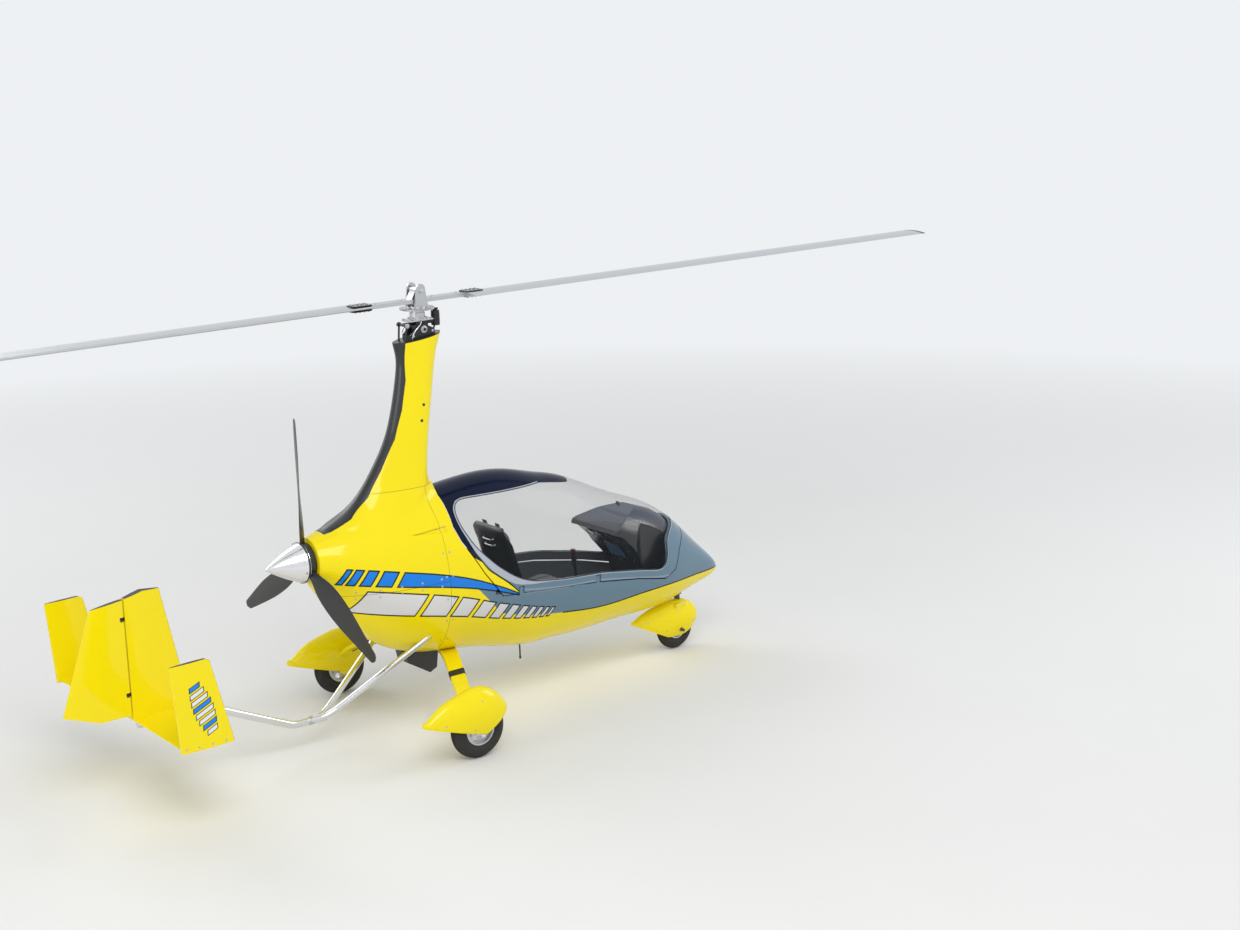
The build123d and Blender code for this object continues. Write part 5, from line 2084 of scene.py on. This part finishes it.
    def lay(self, tree: BVHTree, places: Iterable[tuple[float, float]], rest: float) -> list[Vector]:
        """Lays a run of points on the seat's cushions.

        Args:
            tree: The faces of the cushions.
            places: The run's places (x, y) in this cushion's frame.
            rest: The height over the frame where there is no cushion.

        Returns:
            The points.
        """
        frame = self.matrix()
        down = frame.to_3x3() @ Vector((0, 0, -1))
        points = []
        for x, y in places:
            spot = tree.ray_cast(frame @ Vector((x, y, 0.3)), down, 0.6)[0]
            points.append(spot if spot is not None else frame @ Vector((x, y, rest)))
        return points


@dataclass(frozen=True)
class SeatPlan:
    """One seat in side view: the line of its shell, and its two cushions."""

    name: str
    shell: Line
    pan: Cushion
    back: Cushion


def pan_cushion(name: str, foot: tuple[float, float]) -> Cushion:
    """The seat pan's cushion from its rear foot point."""
    return Cushion(name, foot, (0.320, 0.034), 0.166, 0.318, 0.026, 0.012, cross=(0.160,))


SEATS = (
    SeatPlan(
        "front",
        ((0.988, 0.674), (0.982, 0.656), (0.955, 0.6430), (0.860, 0.6325), (0.700, 0.6160), (0.625, 0.6080),
         (0.588, 0.620), (0.568, 0.655), (0.545, 0.725), (0.500, 0.876), (0.455, 1.027), (0.432, 1.100),
         (0.436, 1.126), (0.456, 1.134)),
        pan_cushion("front_pan", (0.662, 0.6275)),
        Cushion("front_back", (0.5445, 0.7335), (-0.140, 0.470), 0.166, 0.398, 0.044, 0.014, cross=(0.285,)),
    ),
    SeatPlan(
        "rear",
        ((0.488, 0.694), (0.482, 0.676), (0.455, 0.6630), (0.360, 0.6525), (0.200, 0.6360), (0.125, 0.6280),
         (0.088, 0.640), (0.068, 0.675), (0.050, 0.745), (0.016, 0.900), (-0.020, 1.063), (-0.042, 1.165),
         (-0.040, 1.194), (-0.022, 1.204)),
        pan_cushion("rear_pan", (0.162, 0.6475)),
        Cushion("rear_back", (0.0530, 0.7500), (-0.115, 0.520), 0.166, 0.440, 0.046, 0.014, cross=(0.320,)),
    ),
)


@dataclass
class Cabin:
    """Seats, belts, instrument hood and controls, as they show through the dome."""

    shop: Workshop
    shell_half: float = 0.190
    shell_thick: float = 0.007
    shell_columns: int = 28
    shell_step: float = 0.012
    # The shell's raised sides, and the shares of its length over which its top and front get narrower
    rim_height: float = 0.030
    top_part: float = 0.14
    top_narrow: float = 0.24
    front_part: float = 0.06
    front_narrow: float = 0.08
    strap_thick: float = 0.0016
    strap_lift: float = 0.0022
    strap_half: float = 0.0235

    def build(self) -> None:
        """Builds every piece inside the cabin."""
        for plan in SEATS:
            self.seat(plan)
        self.shop.dress("instrument_hood", HOOD, 30)
        self.shop.dress("control_stick", TRIM, 30)
        self.panel()
        self.grip()
        self.dome_knob()

    def seat(self, plan: SeatPlan) -> None:
        """Builds a seat: moulded shell, base, two padded cushions with piping, and its belts.

        Args:
            plan: The seat.
        """
        shell = self.shell(plan)
        node = "seat_" + plan.name
        foot_x = plan.shell[7][0]
        base = block((foot_x + 0.052, -0.125, 0.4722), (foot_x + 0.360, 0.125, 0.6080), 0.006)
        shell = fuse([shell, base], node + "_shell")
        self.shop.add(shell, node + "_shell", SEAT_SHELL, "airframe", node)
        self.handle(plan)
        pads = []
        for cushion in (plan.pan, plan.back):
            pad = cushion.build()
            welt = cushion.piping(pad)
            self.shop.add(pad, cushion.name + "_cushion", FABRIC, "airframe")
            self.shop.add(welt, cushion.name + "_piping", SEAT_SHELL, "airframe")
            pads.append(pad)
        self.belts(plan, pads)

    def handle(self, plan: SeatPlan) -> None:
        """Adds the bright harness bracket behind the top of a seat's back.

        Args:
            plan: The seat.
        """
        (x0, z0), (x1, z1) = plan.shell[10:12]
        way = Vector((x1 - x0, 0, z1 - z0)).normalized()
        out = Vector((-way.z, 0, way.x))
        foot = Vector((x0, 0, z0)) + out * 0.004
        shape = ((-0.052, 0.0), (-0.046, 0.014), (-0.030, 0.019), (0.030, 0.019), (0.046, 0.014),
                 (0.052, 0.0))
        rings = [tube([foot + way * rise + Vector((0, y, 0)) + out * depth for y, depth in shape], 0.0055, 3)
                 for rise in (-0.012, 0.030)]
        self.shop.join(rings, "seat_" + plan.name + "_bracket", STEEL, "airframe")

    def shell(self, plan: SeatPlan) -> bpy.types.Object:
        """The moulded shell: a bent sheet with raised sides and a rounded top.

        Args:
            plan: The seat.

        Returns:
            The shell.
        """
        line = eased(spread([Vector((x, 0, z)) for x, z in plan.shell], self.shell_step), 4)
        total = len(line) - 1
        rows = []
        for index, point in enumerate(line):
            way = (line[min(index + 1, total)] - line[max(index - 1, 0)]).normalized()
            inward = Vector((way.z, 0, -way.x))
            if inward.x < 0 and inward.z < 0:
                inward = -inward
            near_top = max(0.0, 1 - (total - index) / (total * self.top_part))
            near_front = max(0.0, 1 - index / (total * self.front_part))
            narrow = self.top_narrow * near_top ** 2.2 + self.front_narrow * near_front ** 2
            half = self.shell_half * (1 - narrow)
            rise = self.rim_height * (1 - near_top) * (1 - 0.5 * near_front)
            shares = [2 * column / self.shell_columns - 1 for column in range(self.shell_columns + 1)]
            rows.append([point + Vector((0, share * half, 0)) + inward * (rise * abs(share) ** 7)
                         for share in shares])
        made = sheet("shell", rows)
        modify(made, "SOLIDIFY", thickness=self.shell_thick, offset=0.0)
        smooth(made, 40)
        return made

    def belts(self, plan: SeatPlan, pads: Sequence[bpy.types.Object]) -> None:
        """Lays the shoulder and lap straps on the cushions, with adjusters and a buckle.

        Args:
            plan: The seat.
            pads: Its cushions.
        """
        tree = tree_of(*(pad.data for pad in pads))
        back, pan = plan.back.matrix(), plan.pan.matrix()
        straps, metal = [], []
        top = plan.back.length + 0.030
        for side in Side:
            shares = [index / 39 for index in range(40)]
            places = [(side.value * (0.070 - 0.030 * share), top - (top - 0.012) * share) for share in shares]
            run = plan.back.lay(tree, places, 0.036)
            straps.append(self.strap(run, back, (1, 0, 0)))
            adjuster = block((-0.027, -0.011, -0.0025), (0.027, 0.011, 0.0025), 0.0018)
            metal.append(put(adjuster, moved(back, run[24] + back.to_3x3() @ Vector((0, 0, 0.0045)))))
            shares = [index / 23 for index in range(24)]
            places = [(side.value * (0.158 - 0.126 * share), 0.050 + 0.025 * share) for share in shares]
            straps.append(self.strap(plan.pan.lay(tree, places, 0.045), pan, (0, 1, 0)))
        seat_top = moved(pan, plan.pan.lay(tree, [(0, 0.075)], 0.1)[0])
        buckle = put(block((-0.034, -0.026, 0.001), (0.034, 0.026, 0.017), 0.005), seat_top)
        button = put(block((-0.013, -0.010, 0.0165), (0.013, 0.010, 0.0205), 0.002), seat_top)
        for pieces, name, finish in ((straps, "_belts", WEBBING), (metal, "_adjusters", STEEL),
                                     ([buckle], "_buckle", SEAT_SHELL), ([button], "_buckle_button", RED)):
            self.shop.join(pieces, "seat_" + plan.name + name, finish, "airframe")

    def strap(self, run: Sequence[Vector], frame: Matrix, across: Point) -> bpy.types.Object:
        """A flat woven strap along a run of points.

        Args:
            run: Places that its underside follows.
            frame: The frame of the cushion that it lies on.
            across: The direction of its width in that frame.

        Returns:
            The strap.
        """
        turn = frame.to_3x3()
        width, out = turn @ Vector(across), turn @ Vector((0, 0, 1))
        rows = [[point + width * (self.strap_half * share) + out * self.strap_lift
                 for share in (-1, -0.5, 0, 0.5, 1)] for point in eased(run, 3)]
        made = sheet("strap", rows)
        modify(made, "SOLIDIFY", thickness=self.strap_thick, offset=0.0)
        return made

    def panel(self) -> None:
        """Adds the instruments on the panel's two facets: round dials above, a screen and knobs below."""
        upper = ((1.310, 0.935), (1.400, 0.850))
        lower = ((1.400, 0.850), (1.500, 0.700))
        self.dials(upper, [(y, 0.5, 0.038) for y in (-0.150, -0.065, 0.065, 0.150)])
        self.dials(lower, [(y, 0.32, 0.030) for y in (-0.150, 0.150)])
        place = self.facet(lower, 0.0, 0.46)
        frame = block((-0.088, -0.060, -0.002), (0.088, 0.060, 0.008), 0.004)
        glass = block((-0.078, -0.050, 0.007), (0.078, 0.050, 0.0092), 0.001)
        knobs = [cylinder(0.0075, 0.016, (-0.075 + 0.030 * index, -0.079, 0.006), (0, 0, 1), 20)
                 for index in range(6)]
        knobs += [cylinder(0.0045, 0.018, (x, -0.060, 0.007), (0, 0.25, 1), 12)
                  for x in (-0.150, -0.120, 0.120, 0.150)]
        for piece, name, finish in ((frame, "screen_frame", TRIM), (glass, "screen_glass", SCREEN),
                                    (fuse(knobs, "knobs"), "panel_knobs", TRIM)):
            self.shop.join([put(piece, place)], name, finish, "airframe")

    def facet(self, ends: Line, y: float, share: float) -> Matrix:
        """A frame on a facet of the panel: X across, Y up the facet, Z towards the pilot.

        Args:
            ends: The side view ends of the facet.
            y: The place across it.
            share: The share of the way along it.

        Returns:
            The frame.
        """
        (x0, z0), (x1, z1) = ends
        up = Vector((x0 - x1, 0, z0 - z1)).normalized()
        across = Vector((0, -1, 0))
        out = across.cross(up)
        place = Vector((x0 + (x1 - x0) * share, y, z0 + (z1 - z0) * share))
        return Matrix.Translation(place) @ Matrix((across, up, out)).transposed().to_4x4()

    def dials(self, ends: Line, places: Sequence[tuple[float, float, float]]) -> None:
        """Adds round dials with bezels on a facet.

        Args:
            ends: The side view ends of the facet.
            places: The Y, the share of the way along the facet and the radius of each dial.
        """
        name = "dials_%d" % round(ends[0][0] * 1000)
        faces, bezels = [], []
        for y, share, radius in places:
            place = self.facet(ends, y, share)
            bpy.ops.mesh.primitive_circle_add(vertices=48, radius=radius * 0.9, fill_type="TRIFAN",
                                              calc_uvs=True)
            faces.append(put(bpy.context.active_object, place @ Matrix.Translation((0, 0, 0.0045))))
            bpy.ops.mesh.primitive_torus_add(major_radius=radius * 0.95, minor_radius=radius * 0.085,
                                             major_segments=48, minor_segments=10)
            bezels.append(put(bpy.context.active_object, place @ Matrix.Translation((0, 0, 0.004))))
        self.shop.join(faces, name + "_faces", DIAL, "airframe")
        self.shop.join(bezels, name + "_bezels", TRIM, "airframe")

    def grip(self) -> None:
        """Adds the finger ridges and the buttons of the control stick."""
        foot, top = Vector((1.102, 0, 0.740)), Vector((1.090, 0, 0.850))
        along = (top - foot).normalized()
        ridges = [cylinder(0.0182, 0.006, foot.lerp(top, share), along, 32)
                  for share in (0.18, 0.36, 0.54, 0.72)]
        self.shop.join(ridges, "grip_ridges", SEAL, "airframe")
        buttons = [cylinder(0.0055, 0.006, top + along * 0.001 + Vector((0, y, 0)), along, 16)
                   for y in (-0.008, 0.008)]
        front = foot.lerp(top, 0.9) + Vector((-0.017, 0, 0))
        buttons.append(cylinder(0.005, 0.006, front, (-1, 0, 0), 16))
        self.shop.join(buttons, "grip_buttons", RED, "airframe")

    def dome_knob(self) -> None:
        """Adds the small dark vent knob high on the right of the dome."""
        above, down = Vector((1.340, -0.170, 2.0)), Vector((0, 0, -1))
        spot, normal, _, _ = self.shop.skin("canopy_glass").ray_cast(above, down)
        if spot is None:
            return
        knob = cylinder(0.0125, 0.010, spot + normal * 0.003, normal, 28)
        collar = cylinder(0.019, 0.004, spot + normal * 0.0005, normal, 28)
        self.shop.join([knob, collar], "dome_vent", TRIM, "canopy")


class Studio:
    """The floor, the sky, the lamps and the camera."""

    CAMERA_PLACE = (-6.659, -10.452, 4.430)
    CAMERA_RIGHT = (0.783468, -0.620664, -0.030883)
    CAMERA_UP = (0.164524, 0.159243, 0.973434)
    CAMERA_BACK = (-0.599257, -0.767736, 0.226876)
    LENS = 60.58
    SENSOR = 36.0
    FLOOR_COLOR: Color = (0.80, 0.80, 0.79)
    SKY_COLOR: Color = (0.90, 0.92, 0.94)
    SKY_SEEN = 0.95
    SKY_LIGHT = 0.55
    # Middle and half width of the ring in which the floor fades into the sky colour
    FADE = (9.0, 4.5)
    # Place, side length, power and colour of each soft lamp, aimed at the cabin
    LAMPS = (
        ((-4.0, -8.0, 9.0), 6.0, 620.0, (1.0, 0.98, 0.95)),
        ((9.0, -4.0, 6.5), 5.0, 300.0, (0.95, 0.98, 1.0)),
        ((-2.0, 9.0, 7.0), 6.0, 280.0, (1.0, 1.0, 1.0)),
        ((-10.0, -1.0, 3.5), 4.0, 160.0, (0.97, 0.98, 1.0)),
    )
    AIM = (0.2, 0.0, 1.1)

    def build(self) -> None:
        """Builds the whole studio."""
        self.floor()
        self.world()
        self.lamps()
        self.camera()

    def floor(self) -> None:
        """Adds the plain pale floor, which turns into even light far from the aircraft."""
        bpy.ops.mesh.primitive_plane_add(size=400)
        plane = bpy.context.active_object
        plane.name = "studio_floor"
        shader = Shader("studio_floor")
        speck = shader.noise(1.5, 3.0)
        darker = tuple(0.97 * value for value in self.FLOOR_COLOR)
        shader.set(Base_Color=shader.mix(speck, self.FLOOR_COLOR, darker))
        shader.set(Roughness=0.85)
        x, y, _ = shader.axes()
        away = (x * x + y * y).power(0.5)
        seen = away.above(*self.FADE) * shader.background_rays()
        shader.light_where(seen, self.SKY_COLOR, self.SKY_SEEN)
        plane.data.materials.append(shader.material)
        plane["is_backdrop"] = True

    def world(self) -> None:
        """Adds an even sky that the camera, metal and glass see as pale."""
        world = bpy.data.worlds.new("studio")
        world.use_nodes = True
        bpy.context.scene.world = world
        world.node_tree.nodes.clear()
        nodes = Nodes(world.node_tree)
        limits = {"To Min": self.SKY_LIGHT, "To Max": self.SKY_SEEN}
        strength = nodes.node("ShaderNodeMapRange", Value=nodes.background_rays(), **limits)
        sky = nodes.node("ShaderNodeBackground", Color=self.SKY_COLOR, Strength=strength)
        out = nodes.tree.nodes.new("ShaderNodeOutputWorld")
        nodes.join(out.inputs["Surface"], sky)

    def lamps(self) -> None:
        """Adds the soft lamps."""
        for index, (place, size, power, color) in enumerate(self.LAMPS):
            data = bpy.data.lights.new("soft_lamp_%d" % index, "AREA")
            data.shape = "SQUARE"
            data.size = size
            data.energy = power
            data.color = color
            lamp = bpy.data.objects.new(data.name, data)
            bpy.context.scene.collection.objects.link(lamp)
            turn = (Vector(self.AIM) - Vector(place)).to_track_quat("-Z", "Y")
            lamp.matrix_world = Matrix.Translation(place) @ turn.to_matrix().to_4x4()

    def camera(self) -> None:
        """Sets the camera at the photograph's viewing angle."""
        data = bpy.data.cameras.new("camera")
        data.lens = self.LENS
        data.sensor_width = self.SENSOR
        data.sensor_fit = "HORIZONTAL"
        data.clip_end = 500.0
        eye = bpy.data.objects.new("camera", data)
        bpy.context.scene.collection.objects.link(eye)
        turn = Matrix((self.CAMERA_RIGHT, self.CAMERA_UP, self.CAMERA_BACK)).transposed().to_4x4()
        eye.matrix_world = Matrix.Translation(self.CAMERA_PLACE) @ turn
        bpy.context.scene.camera = eye


def plain(bounds: Sequence[Sequence[float]]) -> list[list[float]]:
    """Bounds as plain lists of numbers."""
    return [[float(value) for value in corner] for corner in bounds]


def main() -> list[list[list[float]]]:
    """Builds the sub-assemblies in order.

    Returns:
        The bounds of the CAD model and of the dressed model.
    """
    logging.basicConfig(level=logging.INFO, format="%(message)s")
    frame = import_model()
    cad_box = plain(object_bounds())
    bpy.context.scene.view_settings.view_transform = "Standard"
    shop = Workshop(frame)
    for assembly in (Airframe, Canopy, Gear, Tail, RotorSystem, PropellerUnit, Cabin):
        assembly(shop).build()
    Studio().build()
    return [cad_box, plain(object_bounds())]


if __name__ == "__main__":
    sizes = main()
